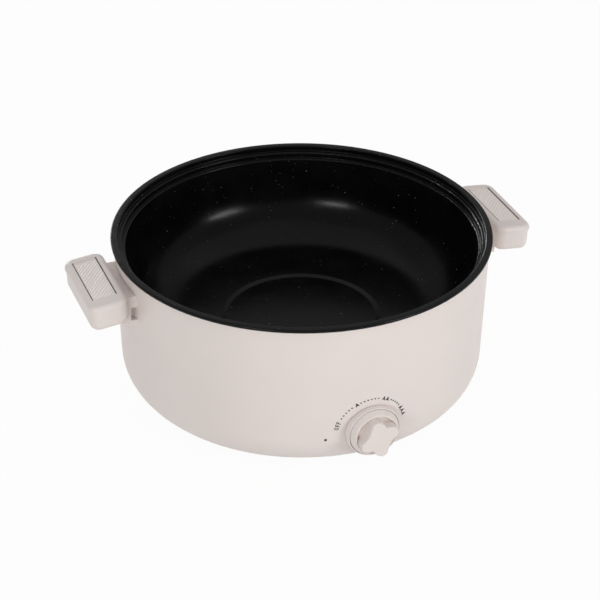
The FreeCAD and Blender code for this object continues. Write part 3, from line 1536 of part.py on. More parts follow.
# ---------------------------------------------------------------- inlet and wiring
def make_inlet_housing():
    """The appliance inlet: a socket through the shell's window and a flange inside."""
    body = new_body("inlet_housing")
    z_low, z_high = "inlet_height - inlet_tall / 2", "inlet_height + inlet_tall / 2"
    pad(body, "XZ_Plane", "-inlet_front", "inlet_depth",
        rectangle("-inlet_width / 2", "inlet_width / 2", z_low, z_high, "inlet_corner_round"))
    pad(body, "XZ_Plane", "-inlet_flange_front", "inlet_flange_thickness",
        rectangle("-inlet_flange_length / 2", "inlet_flange_length / 2", z_low, z_high,
                  "inlet_corner_round"))
    pocket(body, "XZ_Plane", "-inlet_front", "inlet_socket_depth",
           rectangle("-inlet_width / 2 + inlet_wall", "inlet_width / 2 - inlet_wall",
                     f"{z_low} + inlet_wall", f"{z_high} - inlet_wall",
                     "inlet_corner_round - inlet_wall / 2"), reverse=True)
    pocket(body, "XZ_Plane", "-inlet_flange_front", "inlet_flange_thickness",
           *[(f"{side} * inlet_screw_reach", "inlet_height", "tapping_screw_radius + pass_gap")
             for side in (-1, 1)], reverse=True)
    pocket(body, "XZ_Plane", "-inlet_front", "inlet_depth",
           *[pin_outline(x, z, "groove_gap") for x, z in pin_spots()], reverse=True)
    return body


def pin_spots():
    """The pins' places: live, neutral and a raised earth."""
    return [("-pin_spacing", "inlet_height - 1.5"), ("pin_spacing", "inlet_height - 1.5"),
            ("0", "inlet_height - 1.5 + earth_pin_rise")]


def pin_outline(x, z, gap):
    """A pin's section, grown by a gap."""
    return rectangle(f"{x} - pin_sheet / 2 - {gap}", f"{x} + pin_sheet / 2 + {gap}",
                     f"{z} - pin_width / 2 - {gap}", f"{z} + pin_width / 2 + {gap}")


def make_inlet_pins():
    """The three flat pins, with tails behind the housing for the wires."""
    body = new_body("inlet_pins")
    pad(body, "XZ_Plane", "1.5 - inlet_front", "inlet_depth - 1.5 + pin_tail",
        *[pin_outline(x, z, "0") for x, z in pin_spots()])
    return body


def make_inlet_screws():
    """The screws from the inlet's flange into the shell's bosses."""
    sizes = ("tapping_screw_radius", "inlet_flange_thickness + wall_screw_bite - 0.3",
             "tapping_head_radius", "tapping_head_height")
    places = [(spot(f"{side} * inlet_screw_reach", "inlet_flange_back", "inlet_height"), Y_AXIS)
              for side in (-1, 1)]
    return set_of_screws("inlet_screws", sizes, places)


def block_way_x(way):
    """The X of one way of the terminal block."""
    return f"block_x + block_length * ({way} + 0.5 - block_ways / 2) / block_ways"


def make_terminal_block():
    """The terminal block on the base cover, bored through for each way."""
    body = new_body("terminal_block")
    pad(body, "XY_Plane", "base_height", "block_height",
        rectangle("block_x - block_length / 2", "block_x + block_length / 2",
                  "block_y - block_width / 2", "block_y + block_width / 2", "1.5"))
    ways = range(int(SIZES["block_ways"]))
    pocket(body, "XZ_Plane", "block_width / 2 - block_y", "block_width",
           *[(block_way_x(way), "base_height + block_height / 2", "block_bore_radius")
             for way in ways])
    return body


def make_thermal_fuse():
    """The thermal fuse in its sleeve, lying on the shield."""
    return rod("thermal_fuse", "fuse_radius", "fuse_length", "-fuse_length / 2", "fuse_y",
               "fuse_height", X_AXIS)


def in_way(way, y):
    """A place at the level of the block's bores, in line with one way."""
    return (block_way_x(way), y, "wire_level")


def round_the_heater(angle, share, lift):
    """A place on a wire's way round the heater, as a share of the base opening's radius."""
    return (f"{share} * base_opening_radius * cos({angle})",
            f"{share} * base_opening_radius * sin({angle})", f"wire_level + {lift}")


def from_pin(pin, way):
    """A wire from an inlet pin's tail down and into the back of the terminal block."""
    x, z = pin_spots()[pin]
    turn = "inlet_back - pin_tail - 8.2"
    return [
        (x, "inlet_back - pin_tail - wire_end_gap", z),
        (x, turn, z),
        (x, turn, f"wire_level + 13 - 4 * {way}"),
        in_way(way, f"block_y + 21 - 4 * {way}"),
        in_way(way, "block_y + 4"),
    ]


def at_blade(side, reach):
    """A place behind one of the thermostat's blades."""
    return (f"dial_x + {side} * thermostat_blade_spread", f"blade_end + {reach}", "knob_height")


def make_supply_wires():
    """The live, neutral and earth wires between inlet, terminal block, thermostat and pot."""
    live = tubes("live_wire", "wire_radius", from_pin(0, 0), [
        in_way(0, "block_y - 4"),
        in_way(0, "block_y - 20"),
        round_the_heater(167, 0.75, "7"),
        round_the_heater(237, 0.99, "11"),
        at_blade(-1, "9"),
        at_blade(-1, "wire_end_gap"),
    ])
    neutral = tubes("neutral_wire", "wire_radius", from_pin(1, 2))
    x = f"stud_circle_radius * cos({stud_angles()[1]})"
    y = f"stud_circle_radius * sin({stud_angles()[1]})"
    earth = tubes("earth_wire", "wire_radius", from_pin(2, 1), [
        in_way(1, "block_y - 4"),
        (x, y, "wire_level"),
        (x, y, "shield_underside - stud_tail - wire_end_gap"),
    ])
    return live, neutral, earth


def make_heater_wires():
    """The element's wires, the safety parts' wires and the pilot lamp's wires."""
    under_terminal = "plate_underside - terminal_radius - wire_end_gap"
    terminal_y = "element_end_y + terminal_length - 2.9"
    element = tubes("element_wire", "wire_radius", [
        ("-element_leg_offset", terminal_y, under_terminal),
        ("-element_leg_offset", terminal_y, "wire_level + 18"),
        (block_way_x(3), "block_y + 12", "wire_level + 18"),
        in_way(3, "block_y + 12"),
        in_way(3, "block_y + 4"),
    ], [
        ("element_leg_offset", terminal_y, under_terminal),
        ("element_leg_offset", terminal_y, "wire_level + 13"),
        round_the_heater(51.5, 0.95, "7"),
        round_the_heater(0, 0.745, "7"),
        round_the_heater(-57, 0.99, "11"),
        at_blade(1, "9"),
        at_blade(1, "wire_end_gap"),
    ])
    blade_x = "(cutout_radius + cutout_blade_sheet) / 2 + wire_end_gap"
    blade_z = "plate_underside - cutout_height - cutout_blade_length / 2"
    fuse = tubes("fuse_wire", "wire_radius", [
        (blade_x, "cutout_y", blade_z),
        ("cutout_radius + 12", "cutout_y", blade_z),
        ("cutout_radius + 16", "fuse_y", "fuse_height"),
        ("fuse_length / 2 + wire_end_gap", "fuse_y", "fuse_height"),
    ], [
        ("-fuse_length / 2 - wire_end_gap", "fuse_y", "fuse_height"),
        (block_way_x(3), "fuse_y", "fuse_height"),
        (block_way_x(3), "fuse_pass_y", "fuse_height"),
        in_way(3, "fuse_pass_y"),
        in_way(3, "block_y - 4"),
    ], [
        (f"-({blade_x})", "cutout_y", blade_z),
        ("-cutout_pass_x", "cutout_y", blade_z),
        ("-cutout_pass_x", "cutout_y", "wire_level"),
        in_way(2, "block_y - 26"),
        in_way(2, "block_y - 4"),
    ])
    return element, fuse


def make_lamp_wires():
    """The lamp's two thin wires, to the thermostat's blade and to the terminal block."""
    direction = lamp_direction()
    rear = value("lamp_wall - lens_stem - 0.5 - lamp_length - wire_end_gap")
    starts = []
    for reach in (rear, rear - value("lamp_wire_tail")):
        place = direction * reach
        starts.append((str(place.x), str(place.y)))
    upper = [(x, y, "lamp_height + 1.1") for x, y in starts]
    lower = [(x, y, "lamp_height - 1.1") for x, y in starts]
    blade_side = "dial_x - thermostat_blade_spread - cutout_blade_sheet / 2 - wire_end_gap"
    return tubes("lamp_wires", "lamp_wire_radius", upper + [
        (f"{blade_side} - 6", "blade_end - 4", "knob_height"),
        (blade_side, "blade_end - 4", "knob_height"),
    ], lower + [
        ("-30", "-60", "wire_level + 3"),
        ("-8", "0", "wire_level + 3"),
        in_way(4, "block_y - 20"),
        in_way(4, "block_y - 4"),
    ])


def make_capillary_tube():
    """The capillary from the bulb, down through the shield, to the thermostat's side."""
    housing_side = "dial_x + thermostat_width / 2"
    port_y = "capillary_port_y - bracket_back"
    port_height = "knob_height - capillary_port_drop"
    return tubes("capillary_tube", "capillary_radius", [
        ("bulb_length / 2 + wire_end_gap", "bulb_y", "bulb_height"),
        ("capillary_pass_x", "bulb_y", "bulb_height"),
        ("capillary_pass_x", "bulb_y", "wire_level + capillary_lift"),
        ("capillary_way_x", "capillary_way_y", "wire_level + capillary_lift"),
        (f"{housing_side} + capillary_port_reach", port_y, port_height),
        (f"{housing_side} + wire_end_gap", port_y, port_height),
    ])


def build():
    """Make every sub-part and return them by name."""
    inner_pot = make_inner_pot()
    gasket = make_rim_gasket()
    skin, filled, hollow = make_shell_forms()
    shell = make_outer_shell(skin, filled)
    pieces = [inner_pot, gasket, shell, make_base_cover(), make_base_screws()]
    pieces += [make_foot(name, angle) for name, angle in foot_angles().items()]
    groove = element_pipe("element_groove", "element_tube_radius + groove_gap")
    pieces += [element_pipe("heating_element", "element_tube_radius"), make_heater_plate(groove)]
    pieces += make_element_ends()
    pieces.append(make_heat_shield())
    pieces += make_studs_and_nuts()
    pieces += [make_sensor_bulb(), make_bulb_clip(), make_overheat_cutout()]
    pieces.append(make_small_screws("bulb_clip_screws", plate_screw_places()[:2],
                                    "plate_underside - clip_sheet"))
    pieces.append(make_small_screws(
        "cutout_screws", plate_screw_places()[2:],
        "plate_underside - cutout_ear_drop - cutout_ear_sheet"))
    pieces += [make_thermostat(), make_thermostat_bracket(), make_thermostat_nut(),
               make_thermostat_screws(), make_thermostat_shaft()]
    pieces += [make_knob(), make_knob_spring(), make_knob_bezel(filled)]
    pieces += make_lamp_parts()
    right = [make_handle_body(filled), make_handle_cap(), make_handle_panel(),
             make_handle_trims(), make_handle_plate(hollow)]
    right += make_handle_screws()
    pieces += right
    pieces += [mirror_across_yz(piece.Label.replace("right_", "left_"), piece)
               for piece in right]
    pieces += [make_inlet_housing(), make_inlet_pins(), make_inlet_screws(),
               make_terminal_block(), make_thermal_fuse(), make_capillary_tube(),
               make_lamp_wires()]
    pieces += make_supply_wires()
    pieces += make_heater_wires()
    return pieces


def check(pieces):
    """Stop if any object failed or any sub-part isn't a sound solid."""
    for thing in doc.Objects:
        if "Invalid" in thing.State or "Error" in thing.State:
            raise RuntimeError(f"{thing.Label} did not build: {thing.State}")
    for piece in pieces:
        shape = piece.Shape
        if shape.isNull() or not shape.isValid() or not shape.Solids:
            raise RuntimeError(f"{piece.Label} is not a sound solid")


pieces = build()
doc.recompute()
check(pieces)
os.makedirs("parts", exist_ok=True)
for piece in pieces:
    piece.Shape.exportStep(f"parts/{piece.Label}.step")
print(f"{len(pieces)} sub-parts written")
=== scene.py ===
"""Looks of the electric hot pot: materials, the dial's marks, floor, lights and camera.

Every piece with a shape of its own is CAD. This script gives the CAD nodes their materials
and adds only flat print: the dial's dots, heat marks and OFF, and the knob's small mark.
"""
import bpy
import bmesh
import json
import math
from mathutils import Matrix, Vector


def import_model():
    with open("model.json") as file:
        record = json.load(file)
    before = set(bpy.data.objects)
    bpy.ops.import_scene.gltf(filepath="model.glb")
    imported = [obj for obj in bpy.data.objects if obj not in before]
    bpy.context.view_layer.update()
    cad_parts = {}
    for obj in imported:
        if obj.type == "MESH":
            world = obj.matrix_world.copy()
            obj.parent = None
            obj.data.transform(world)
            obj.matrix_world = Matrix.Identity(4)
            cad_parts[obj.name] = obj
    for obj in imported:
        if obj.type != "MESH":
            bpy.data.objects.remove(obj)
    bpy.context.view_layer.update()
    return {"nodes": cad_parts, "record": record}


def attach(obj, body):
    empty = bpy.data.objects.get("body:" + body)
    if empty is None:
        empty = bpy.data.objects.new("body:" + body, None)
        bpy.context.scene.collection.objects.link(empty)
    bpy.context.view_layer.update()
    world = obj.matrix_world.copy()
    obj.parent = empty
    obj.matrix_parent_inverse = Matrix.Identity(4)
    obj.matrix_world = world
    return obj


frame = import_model()


# ---------------------------------------------------------------- node helpers
def new_material(name, colour, roughness=0.5, metallic=0.0):
    """A material with a Principled shader whose even values are set on its own sockets."""
    material = bpy.data.materials.new(name)
    material.use_nodes = True
    shader = material.node_tree.nodes["Principled BSDF"]
    shader.inputs["Base Color"].default_value = (*colour, 1)
    shader.inputs["Roughness"].default_value = roughness
    shader.inputs["Metallic"].default_value = metallic
    material.diffuse_color = (*colour, 1)
    return material, material.node_tree, shader


def add(tree, kind, settings=(), **inputs):
    """A node with its settings and its sockets' values or links."""
    node = tree.nodes.new(kind)
    for key, value in dict(settings).items():
        setattr(node, key, value)
    for key, value in inputs.items():
        name = key.replace("_", " ")
        socket = node.inputs[int(name[1:])] if name[0] == "i" and name[1:].isdigit() \
            else node.inputs[name]
        if isinstance(value, bpy.types.NodeSocket):
            tree.links.new(value, socket)
        else:
            socket.default_value = value
    return node


def place_in(tree, rotation=(0, 0, 0)):
    """The object's own coordinates, in metres, which can be turned."""
    place = add(tree, "ShaderNodeTexCoord").outputs["Object"]
    return add(tree, "ShaderNodeMapping", Vector=place, Rotation=rotation).outputs["Vector"]


def noise(tree, vector, scale, detail=3.0, roughness=0.5):
    """The grey value of a noise texture, about 0.3 to 0.7 for most of its area."""
    return add(tree, "ShaderNodeTexNoise", Vector=vector, Scale=scale, Detail=detail,
               Roughness=roughness).outputs["Fac"]


def maths(tree, operation, a, b=0.0, c=0.0):
    """One step of arithmetic on values or links."""
    return add(tree, "ShaderNodeMath", {"operation": operation}, i0=a, i1=b, i2=c) \
        .outputs[0]


def span(tree, value, low, high, to_low=0.0, to_high=1.0):
    """A value mapped from one range to another, and held inside it."""
    return add(tree, "ShaderNodeMapRange", Value=value, **{
        "From_Min": low, "From_Max": high, "To_Min": to_low, "To_Max": to_high}).outputs[0]


def mixed(tree, factor, a, b):
    """Two colours mixed by a factor."""
    node = add(tree, "ShaderNodeMix", {"data_type": "RGBA"})
    for socket, value in ((node.inputs[0], factor), (node.inputs[6], a), (node.inputs[7], b)):
        if isinstance(value, bpy.types.NodeSocket):
            tree.links.new(value, socket)
        elif isinstance(value, (int, float)):
            socket.default_value = value
        else:
            socket.default_value = (*value, 1)
    return node.outputs[2]


def bumps(tree, shader, height, distance, strength=1.0, under=None):
    """Fine relief, in metres, on the shader's normal. It can lie on coarser relief."""
    node = add(tree, "ShaderNodeBump", Height=height, Distance=distance, Strength=strength)
    if under:
        tree.links.new(under, node.inputs["Normal"])
    tree.links.new(node.outputs[0], shader.inputs["Normal"])
    return node.outputs[0]


def drive(tree, shader, socket, value):
    """Link a value to one of the shader's sockets."""
    tree.links.new(value, shader.inputs[socket])


# ---------------------------------------------------------------- materials
def moulded_plastic(name, colour, shade, roughness=0.42):
    """Satin moulded plastic: faint cloudiness in colour and gloss, and a fine grain."""
    material, tree, shader = new_material(name, colour, roughness)
    shader.inputs["Specular IOR Level"].default_value = 0.4
    place = place_in(tree)
    cloud = noise(tree, place, 22, 4)
    drive(tree, shader, "Base Color", mixed(tree, span(tree, cloud, 0.3, 0.7), colour, shade))
    drive(tree, shader, "Roughness",
          span(tree, noise(tree, place, 60, 5), 0.3, 0.7, roughness - 0.05, roughness + 0.05))
    fine = bumps(tree, shader, noise(tree, place, 2600, 2), 0.00002, 0.5)
    bumps(tree, shader, noise(tree, place, 90, 2), 0.00004, 0.25, fine)
    return material


# Layers of specks: cells per metre, widest speck as a share of a cell, share of bare cells.
SPECK_LAYERS = ((330, 0.21, 0.89), (520, 0.20, 0.86), (190, 0.13, 0.93))
SPECK_COLOUR = (0.18, 0.175, 0.17)
SPECK_BEND = 0.0006


def non_stick():
    """Black non-stick coating with fine pale specks of uneven size."""
    material, tree, shader = new_material("non_stick_coating", (0.003, 0.003, 0.003), 0.21)
    shader.inputs["Specular IOR Level"].default_value = 0.15
    place = place_in(tree)
    bent = add(tree, "ShaderNodeVectorMath", {"operation": "MULTIPLY_ADD"}, i0=add(
        tree, "ShaderNodeTexNoise", Vector=place, Scale=700.0).outputs["Color"],
        i1=(SPECK_BEND,) * 3, i2=place).outputs[0]
    specks = None
    for scale, size, share in SPECK_LAYERS:
        cells = add(tree, "ShaderNodeTexVoronoi", Vector=bent, Scale=float(scale))
        chance = add(tree, "ShaderNodeSeparateColor", Color=cells.outputs["Color"])
        width = span(tree, chance.outputs["Red"], share, 1, 0, size)
        speck = span(tree, maths(tree, "SUBTRACT", width, cells.outputs["Distance"]),
                     0, 0.03, 0, 1)
        speck = maths(tree, "MULTIPLY", speck, span(tree, chance.outputs["Green"], 0, 1,
                                                    0.25, 1))
        specks = speck if specks is None else maths(tree, "MAXIMUM", specks, speck)
    haze = noise(tree, place, 35, 5)
    black = mixed(tree, span(tree, haze, 0.35, 0.65), (0.0020, 0.0020, 0.0020),
                  (0.0042, 0.0040, 0.0040))
    drive(tree, shader, "Base Color", mixed(tree, specks, black, SPECK_COLOUR))
    drive(tree, shader, "Roughness", span(tree, haze, 0.3, 0.7, 0.20, 0.26))
    peel = bumps(tree, shader, noise(tree, place, 420, 3), 0.00008, 0.5)
    bumps(tree, shader, specks, 0.00002, 0.4, peel)
    return material


RIB_SLANT, RIB_PERIOD, RIB_DEPTH = math.radians(-50), 0.0027, 0.00030


def ribbed_panel():
    """The handles' insert: slanting fine ribs over a faint stipple, with painted shade in the
    ribs' troughs.
    """
    colour, shade = (0.92, 0.84, 0.80), (0.84, 0.76, 0.72)
    material, tree, shader = new_material("textured_panel", colour, 0.5)
    place = place_in(tree, rotation=(0, 0, RIB_SLANT))
    split = add(tree, "ShaderNodeSeparateXYZ", Vector=place)
    wave = maths(tree, "SINE", maths(tree, "MULTIPLY", split.outputs["Y"],
                                     2 * math.pi / RIB_PERIOD))
    stipple = noise(tree, place, 1200, 3)
    rib = span(tree, wave, -0.9, 0.9)
    # The base colour follows the ribs: their troughs take the darker tone as painted shade in
    # the grooves, and the stipple adds a faint random tone.
    drive(tree, shader, "Base Color", mixed(
        tree, maths(tree, "MULTIPLY_ADD", rib, 0.8, maths(tree, "MULTIPLY", stipple, 0.2)),
        shade, colour))
    drive(tree, shader, "Roughness", span(tree, stipple, 0.3, 0.7, 0.45, 0.6))
    grain = bumps(tree, shader, stipple, 0.00008, 0.5)
    bumps(tree, shader, rib, RIB_DEPTH, 0.8, grain)
    return material


def rubber(name, colour, roughness=0.75):
    """Matt rubber, silicone or cable sheath: cloudy tone over a fine grain."""
    material, tree, shader = new_material(name, colour, roughness)
    place = place_in(tree)
    fine = noise(tree, place, 900, 4)
    drive(tree, shader, "Base Color", mixed(
        tree, noise(tree, place, 60, 4), colour, tuple(c * 0.78 for c in colour)))
    drive(tree, shader, "Roughness", span(tree, fine, 0.3, 0.7, roughness - 0.1,
                                          min(roughness + 0.1, 1)))
    bumps(tree, shader, fine, 0.00005, 0.5)
    return material


def metal(name, colour, roughness=0.3, scratch=900, mottled=0.8):
    """Metal whose gloss varies along fine scratches, with a slightly mottled tone."""
    material, tree, shader = new_material(name, colour, roughness, 1.0)
    place = place_in(tree)
    lines = noise(tree, place, scratch, 4, 0.6)
    cloud = noise(tree, place, 45, 4)
    drive(tree, shader, "Base Color", mixed(
        tree, span(tree, cloud, 0.3, 0.7), colour, tuple(c * mottled for c in colour)))
    drive(tree, shader, "Roughness", span(tree, lines, 0.3, 0.7, roughness - 0.08,
                                          roughness + 0.12))
    bumps(tree, shader, lines, 0.00003, 0.4)
    return material


def ceramic():
    """Unglazed white ceramic: mottled and slightly rough."""
    material, tree, shader = new_material("white_ceramic", (0.78, 0.76, 0.71), 0.55)
    place = place_in(tree)
    drive(tree, shader, "Base Color", mixed(
        tree, noise(tree, place, 120, 5), (0.80, 0.78, 0.73), (0.66, 0.63, 0.58)))
    drive(tree, shader, "Roughness", span(tree, noise(tree, place, 700, 3), 0.3, 0.7,
                                          0.45, 0.65))
    bumps(tree, shader, noise(tree, place, 1400, 3), 0.00006, 0.5)
    return material


def lens():
    """The pilot lamp's clear red lens."""
    material, tree, shader = new_material("lens_plastic", (0.20, 0.018, 0.012), 0.12)
    shader.inputs["Transmission Weight"].default_value = 0.35
    shader.inputs["IOR"].default_value = 1.49
    place = place_in(tree)
    drive(tree, shader, "Base Color", mixed(
        tree, noise(tree, place, 700, 3), (0.22, 0.02, 0.014), (0.10, 0.01, 0.008)))
    bumps(tree, shader, noise(tree, place, 1500, 2), 0.00003, 0.3)
    return material


def glass_bulb():
    """The neon lamp's clear bulb."""
    material, tree, shader = new_material("lamp_glass", (0.9, 0.75, 0.7), 0.05)
    shader.inputs["Transmission Weight"].default_value = 0.9
    shader.inputs["IOR"].default_value = 1.5
    place = place_in(tree)
    drive(tree, shader, "Base Color", mixed(
        tree, noise(tree, place, 300, 2), (0.95, 0.80, 0.74), (0.80, 0.60, 0.55)))
    bumps(tree, shader, noise(tree, place, 500, 2), 0.00003, 0.3)
    return material


def print_ink(name, dark, light):
    """Printed marks: slightly uneven ink between two tones."""
    material, tree, shader = new_material(name, dark, 0.5)
    place = place_in(tree)
    drive(tree, shader, "Base Color", mixed(
        tree, noise(tree, place, 1500, 3), dark, light))
    bumps(tree, shader, noise(tree, place, 2500, 2), 0.00001, 0.4)
    return material


CREAM, CREAM_SHADE = (0.790, 0.716, 0.682), (0.772, 0.698, 0.662)
LOOKS = {
    "cream_plastic": moulded_plastic("cream_plastic", CREAM, CREAM_SHADE),
    "textured_panel": ribbed_panel(),
    "red_brown_trim": moulded_plastic("red_brown_trim", (0.085, 0.016, 0.013),
                                      (0.055, 0.012, 0.010), 0.35),
    "non_stick_coating": non_stick(),
    "grey_rubber": rubber("grey_rubber", (0.16, 0.155, 0.15)),
    "silicone": rubber("silicone", (0.55, 0.52, 0.49), 0.6),
    "plate_aluminium": metal("plate_aluminium", (0.72, 0.72, 0.73), 0.42, scratch=500),
    "bright_steel": metal("bright_steel", (0.60, 0.60, 0.61), 0.3),
    "element_sheath": metal("element_sheath", (0.16, 0.17, 0.15), 0.5, mottled=0.5),
    "white_ceramic": ceramic(),
    "dark_moulding": moulded_plastic("dark_moulding", (0.035, 0.035, 0.036),
                                     (0.028, 0.028, 0.029), 0.45),
    "lens_plastic": lens(),
    "lamp_glass": glass_bulb(),
    "pin_brass": metal("pin_brass", (0.78, 0.70, 0.50), 0.25),
    "copper": metal("copper", (0.72, 0.36, 0.22), 0.3, mottled=0.6),
    "wire_red_brown": rubber("wire_red_brown", (0.26, 0.075, 0.035), 0.5),
    "wire_blue": rubber("wire_blue", (0.045, 0.12, 0.34), 0.5),
    "wire_green": rubber("wire_green", (0.075, 0.25, 0.06), 0.5),
}
SLOT_OF = {s["node"]: s["material_slot"] for s in frame["record"]["subparts"]}
for name, node in frame["nodes"].items():
    node.data.materials.clear()
    node.data.materials.append(LOOKS[SLOT_OF[name]])


# ---------------------------------------------------------------- the dial's marks
MM = 0.001
# The shell's outside, in mm: its radius at its top edge, that edge's height, and its draft,
# which is the radius that it loses for each mm further down.
SHELL_TOP_RADIUS, SHELL_TOP, DRAFT = 157.7, 138.4, 0.0264
# The middle of the printed scale, and of the knob, which the print isn't quite centred on.
DIAL_X, DIAL_Z = 0.4, 39.1
KNOB_X, KNOB_Z = 1.2, 39.6
INK_LIFT = 0.06         # how far the ink stands off the surface under it


def shell_radius(z):
    """The shell's outer radius at a height, in mm."""
    return SHELL_TOP_RADIUS - (SHELL_TOP - z) * DRAFT


def on_shell(across, up):
    """A point of the dial's flat drawing, in mm from the dial's middle, laid on the shell."""
    x, z = DIAL_X + across, DIAL_Z + up
    radius = shell_radius(z) + INK_LIFT
    return Vector((x, -math.sqrt(radius ** 2 - x ** 2), z)) * MM


def flat_piece(name, loops, ink):
    """One flat piece made of filled outlines, whose points are in metres."""
    mesh = bmesh.new()
    for loop in loops:
        mesh.faces.new([mesh.verts.new(point) for point in loop])
    data = bpy.data.meshes.new(name)
    mesh.to_mesh(data)
    mesh.free()
    piece = bpy.data.objects.new(name, data)
    bpy.context.scene.collection.objects.link(piece)
    data.materials.append(ink)
    return piece


def printed(name, loops):
    """Print on the shell, from outlines in the dial's drawing."""
    piece = flat_piece(name, [[on_shell(*point) for point in loop] for loop in loops], INK)
    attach(piece, "cooker")


def at_angle(angle, radius, across=0.0):
    """A point of the drawing at a clock angle, with a step along the tangent."""
    a = math.radians(angle)
    return (radius * math.sin(a) + across * math.cos(a),
            radius * math.cos(a) - across * math.sin(a))


def dot(angle, radius=29.7, size=0.68):
    """A round dot, as a polygon of 12 sides."""
    cx, cy = at_angle(angle, radius)
    return [(cx + size * math.cos(k * math.pi / 6), cy + size * math.sin(k * math.pi / 6))
            for k in range(12)]


FLAME_NICK = 0.22       # the nick's depth, as a share of the mark's height


def flame(angle, radius=29.9, width=3.3, height=4.3):
    """One heat mark: a solid triangle that points outwards, with a small nick in its foot."""
    foot = radius - height / 2
    return [at_angle(angle, foot, -width / 2),
            at_angle(angle, foot + height * FLAME_NICK, 0),
            at_angle(angle, foot, width / 2), at_angle(angle, radius + height / 2)]


def bar(angle, x0, y0, x1, y1, radius, width):
    """A straight stroke of a letter, from one point of the letter's box to another."""
    dx, dy = x1 - x0, y1 - y0
    length = math.hypot(dx, dy)
    nx, ny = -dy / length * width / 2, dx / length * width / 2
    corners = ((x0 + nx, y0 + ny), (x0 - nx, y0 - ny), (x1 - nx, y1 - ny), (x1 + nx, y1 + ny))
    return [at_angle(angle, radius + y, x) for x, y in corners]


def letter_o(angle, x, radius, width, height, stroke):
    """An O as a ring of short filled pieces."""
    loops, count = [], 20
    for k in range(count):
        pair = []
        for j in (k, k + 1):
            a = 2 * math.pi * j / count
            for grow in (0, 1):
                pair.append(at_angle(
                    angle, radius + (height / 2 - grow * stroke) * math.sin(a),
                    x + (width / 2 - grow * stroke) * math.cos(a)))
        loops.append([pair[0], pair[2], pair[3], pair[1]])
    return loops


def letter_f(angle, x, radius, width, height, stroke):
    """An F as three strokes, with its middle one a little shorter."""
    left, low, high = x - width / 2 + stroke / 2, -height / 2, height / 2
    return [bar(angle, left, low, left, high, radius, stroke),
            bar(angle, left, high - stroke / 2, x + width / 2, high - stroke / 2, radius,
                stroke),
            bar(angle, left, 0.1, x + width / 2 - 0.35, 0.1, radius, stroke)]


INK = print_ink("dial_ink", (0.008, 0.007, 0.007), (0.022, 0.020, 0.020))
# A small brown dash laid in the knob's dish; it turns with the knob.
DASH_INK = print_ink("dash_ink", (0.36, 0.28, 0.23), (0.44, 0.34, 0.28))
DOT_ANGLES = (-58.8, -52.8, -46.8, -40.8, -34.8, -19, -13.1, -7.2, -1.3, 4.6, 10.6,
              34.1, 39.1, 44.1, 49.1, 54)
printed("dial_dots", [dot(angle) for angle in DOT_ANGLES])
printed("dial_mark_low", [flame(-25.8, width=3.7, height=4.2)])
printed("dial_mark_middle", [flame(angle) for angle in (20.0, 26.9)])
printed("dial_mark_high", [flame(angle) for angle in (61.4, 68.8, 76.2)])

OFF_ANGLE, OFF_RADIUS = -72.7, 29.6
O_SIZES = (2.5, 3.9, 0.62)              # width, height and stroke
F_SIZES = (2.5 * 0.85, 3.9, 0.62)
printed("dial_off",
        letter_o(OFF_ANGLE, -3.0, OFF_RADIUS, *O_SIZES)
        + letter_f(OFF_ANGLE, 0.1, OFF_RADIUS, *F_SIZES)
        + letter_f(OFF_ANGLE, 2.8, OFF_RADIUS, *F_SIZES))

DISH_REACH = 7.5        # how far the floor of the knob's dish stands off the shell's wall
DASH_OUTLINE = ((-15.3, -1.6), (-14.4, -1.5), (-14.4, 1.5), (-15.3, 1.6))


def dish_dash():
    """A small brown dash in the knob's dish, which turns with the knob."""
    y = -shell_radius(KNOB_Z) - DISH_REACH - INK_LIFT
    outline = [Vector((KNOB_X + x, y, KNOB_Z + z)) * MM for x, z in DASH_OUTLINE]
    piece = flat_piece("dish_dash", [outline], DASH_INK)
    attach(piece, "dial")


dish_dash()


# ---------------------------------------------------------------- floor and light
FLOOR_TONE, FLOOR_WHITE = 0.86, 0.95    # as lit by the lamps, and as seen directly
SKY_TONE = 0.98
SKY_LIGHT = 0.45        # the world's strength, apart from where it shows as white
LOW_SKY = (0.05, 0.15)  # sine of the height to which gloss sees white, and where that ends


def floor_material():
    """Pale floor: it shows white to the camera and in gloss and glass, with a soft shadow."""
    material = bpy.data.materials.new("studio_floor")
    material.use_nodes = True
    tree = material.node_tree
    tree.nodes.clear()
    diffuse = add(tree, "ShaderNodeBsdfDiffuse", Color=(FLOOR_TONE,) * 3 + (1,))
    white = add(tree, "ShaderNodeEmission", Color=(1, 1, 1, 1), Strength=1.0)
    path = add(tree, "ShaderNodeLightPath").outputs
    direct = maths(tree, "MAXIMUM", path["Is Camera Ray"], maths(
        tree, "MAXIMUM", path["Is Glossy Ray"], path["Is Transmission Ray"]))
    mix = add(tree, "ShaderNodeMixShader", i0=maths(tree, "MULTIPLY", direct, FLOOR_WHITE),
              i1=diffuse.outputs[0], i2=white.outputs[0])
    add(tree, "ShaderNodeOutputMaterial", Surface=mix.outputs[0])
    return material


def floor():
    """A wide plane that the feet stand on."""
    bpy.ops.mesh.primitive_plane_add(size=24, location=(0, 0, 0))
    plane = bpy.context.object
    plane.name = "studio_floor"
    plane.data.materials.append(floor_material())


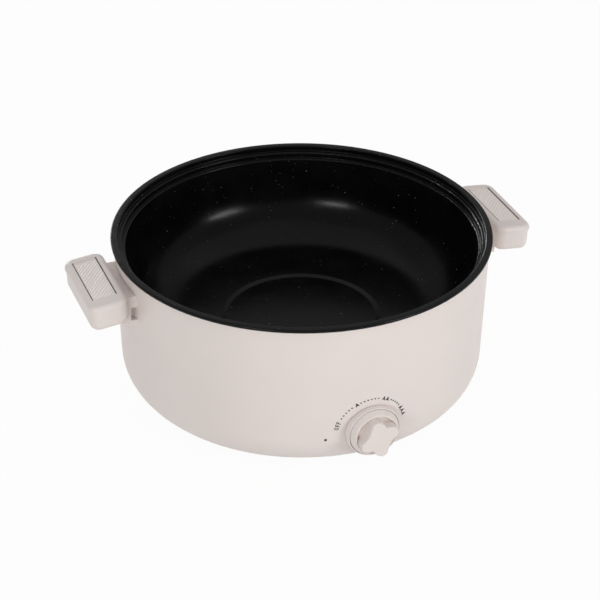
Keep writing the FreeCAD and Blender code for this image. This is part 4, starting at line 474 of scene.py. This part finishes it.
def world():
    """Even light from all round. To the camera it is white, and in gloss white low down."""
    surroundings = bpy.data.worlds.new("studio")
    bpy.context.scene.world = surroundings
    surroundings.use_nodes = True
    tree = surroundings.node_tree
    background = tree.nodes["Background"]
    background.inputs["Color"].default_value = (SKY_TONE,) * 3 + (1,)
    path = add(tree, "ShaderNodeLightPath").outputs
    way = add(tree, "ShaderNodeSeparateXYZ",
              Vector=add(tree, "ShaderNodeTexCoord").outputs["Generated"])
    low = span(tree, way.outputs["Z"], *LOW_SKY, 1.0, 0.0)
    mirrored = maths(tree, "MULTIPLY", low, maths(
        tree, "MAXIMUM", path["Is Glossy Ray"], path["Is Transmission Ray"]))
    seen = maths(tree, "MAXIMUM", path["Is Camera Ray"], mirrored)
    drive(tree, background, "Strength",
          maths(tree, "MULTIPLY_ADD", seen, 1 - SKY_LIGHT, SKY_LIGHT))


def area_light(name, place, target, size, power, size_y=None):
    """A lamp turned to a target: square, or size wide and size_y high. Power is in watts."""
    data = bpy.data.lights.new(name, "AREA")
    data.energy = power
    data.size = size
    if size_y:
        data.shape = "RECTANGLE"
        data.size_y = size_y
    lamp = bpy.data.objects.new(name, data)
    bpy.context.scene.collection.objects.link(lamp)
    lamp.location = place
    lamp.rotation_euler = (Vector(target) - Vector(place)).to_track_quat("-Z", "Y").to_euler()


# The photo's camera, fitted to the rim, the seats, the floor, the shell and the handles.
CAMERA_PLACE = Vector((-0.5048, -1.2929, 0.9210))
CAMERA_AIM = Vector((-0.0010, 0.0004, 0.0719))
CAMERA_LENS, CAMERA_ROLL = 113.80, math.radians(0.348)


def camera():
    """The camera at the photo's place."""
    data = bpy.data.cameras.new("camera")
    data.lens = CAMERA_LENS
    data.sensor_width = 36
    data.clip_start = 0.05
    eye = bpy.data.objects.new("camera", data)
    bpy.context.scene.collection.objects.link(eye)
    turn = (CAMERA_AIM - CAMERA_PLACE).to_track_quat("-Z", "Y").to_matrix().to_4x4()
    eye.matrix_world = Matrix.Translation(CAMERA_PLACE) @ turn \
        @ Matrix.Rotation(CAMERA_ROLL, 4, "Z")
    bpy.context.scene.camera = eye


floor()
world()
area_light("front_right", (0.90, -1.31, 0.47), (0, 0, 0.08), 0.52, 7.3, 0.18)
area_light("front_left", (-1.11, -1.15, 0.43), (0, 0, 0.08), 0.48, 5.9, 0.16)
area_light("above", (0.2, 0.2, 2.3), (0, 0, 0.1), 3.4, 9)
area_light("behind", (-0.1, 1.9, 0.42), (0, 0, 0.08), 1.0, 9, 0.25)
camera()
bpy.context.scene.view_settings.view_transform = "Standard"
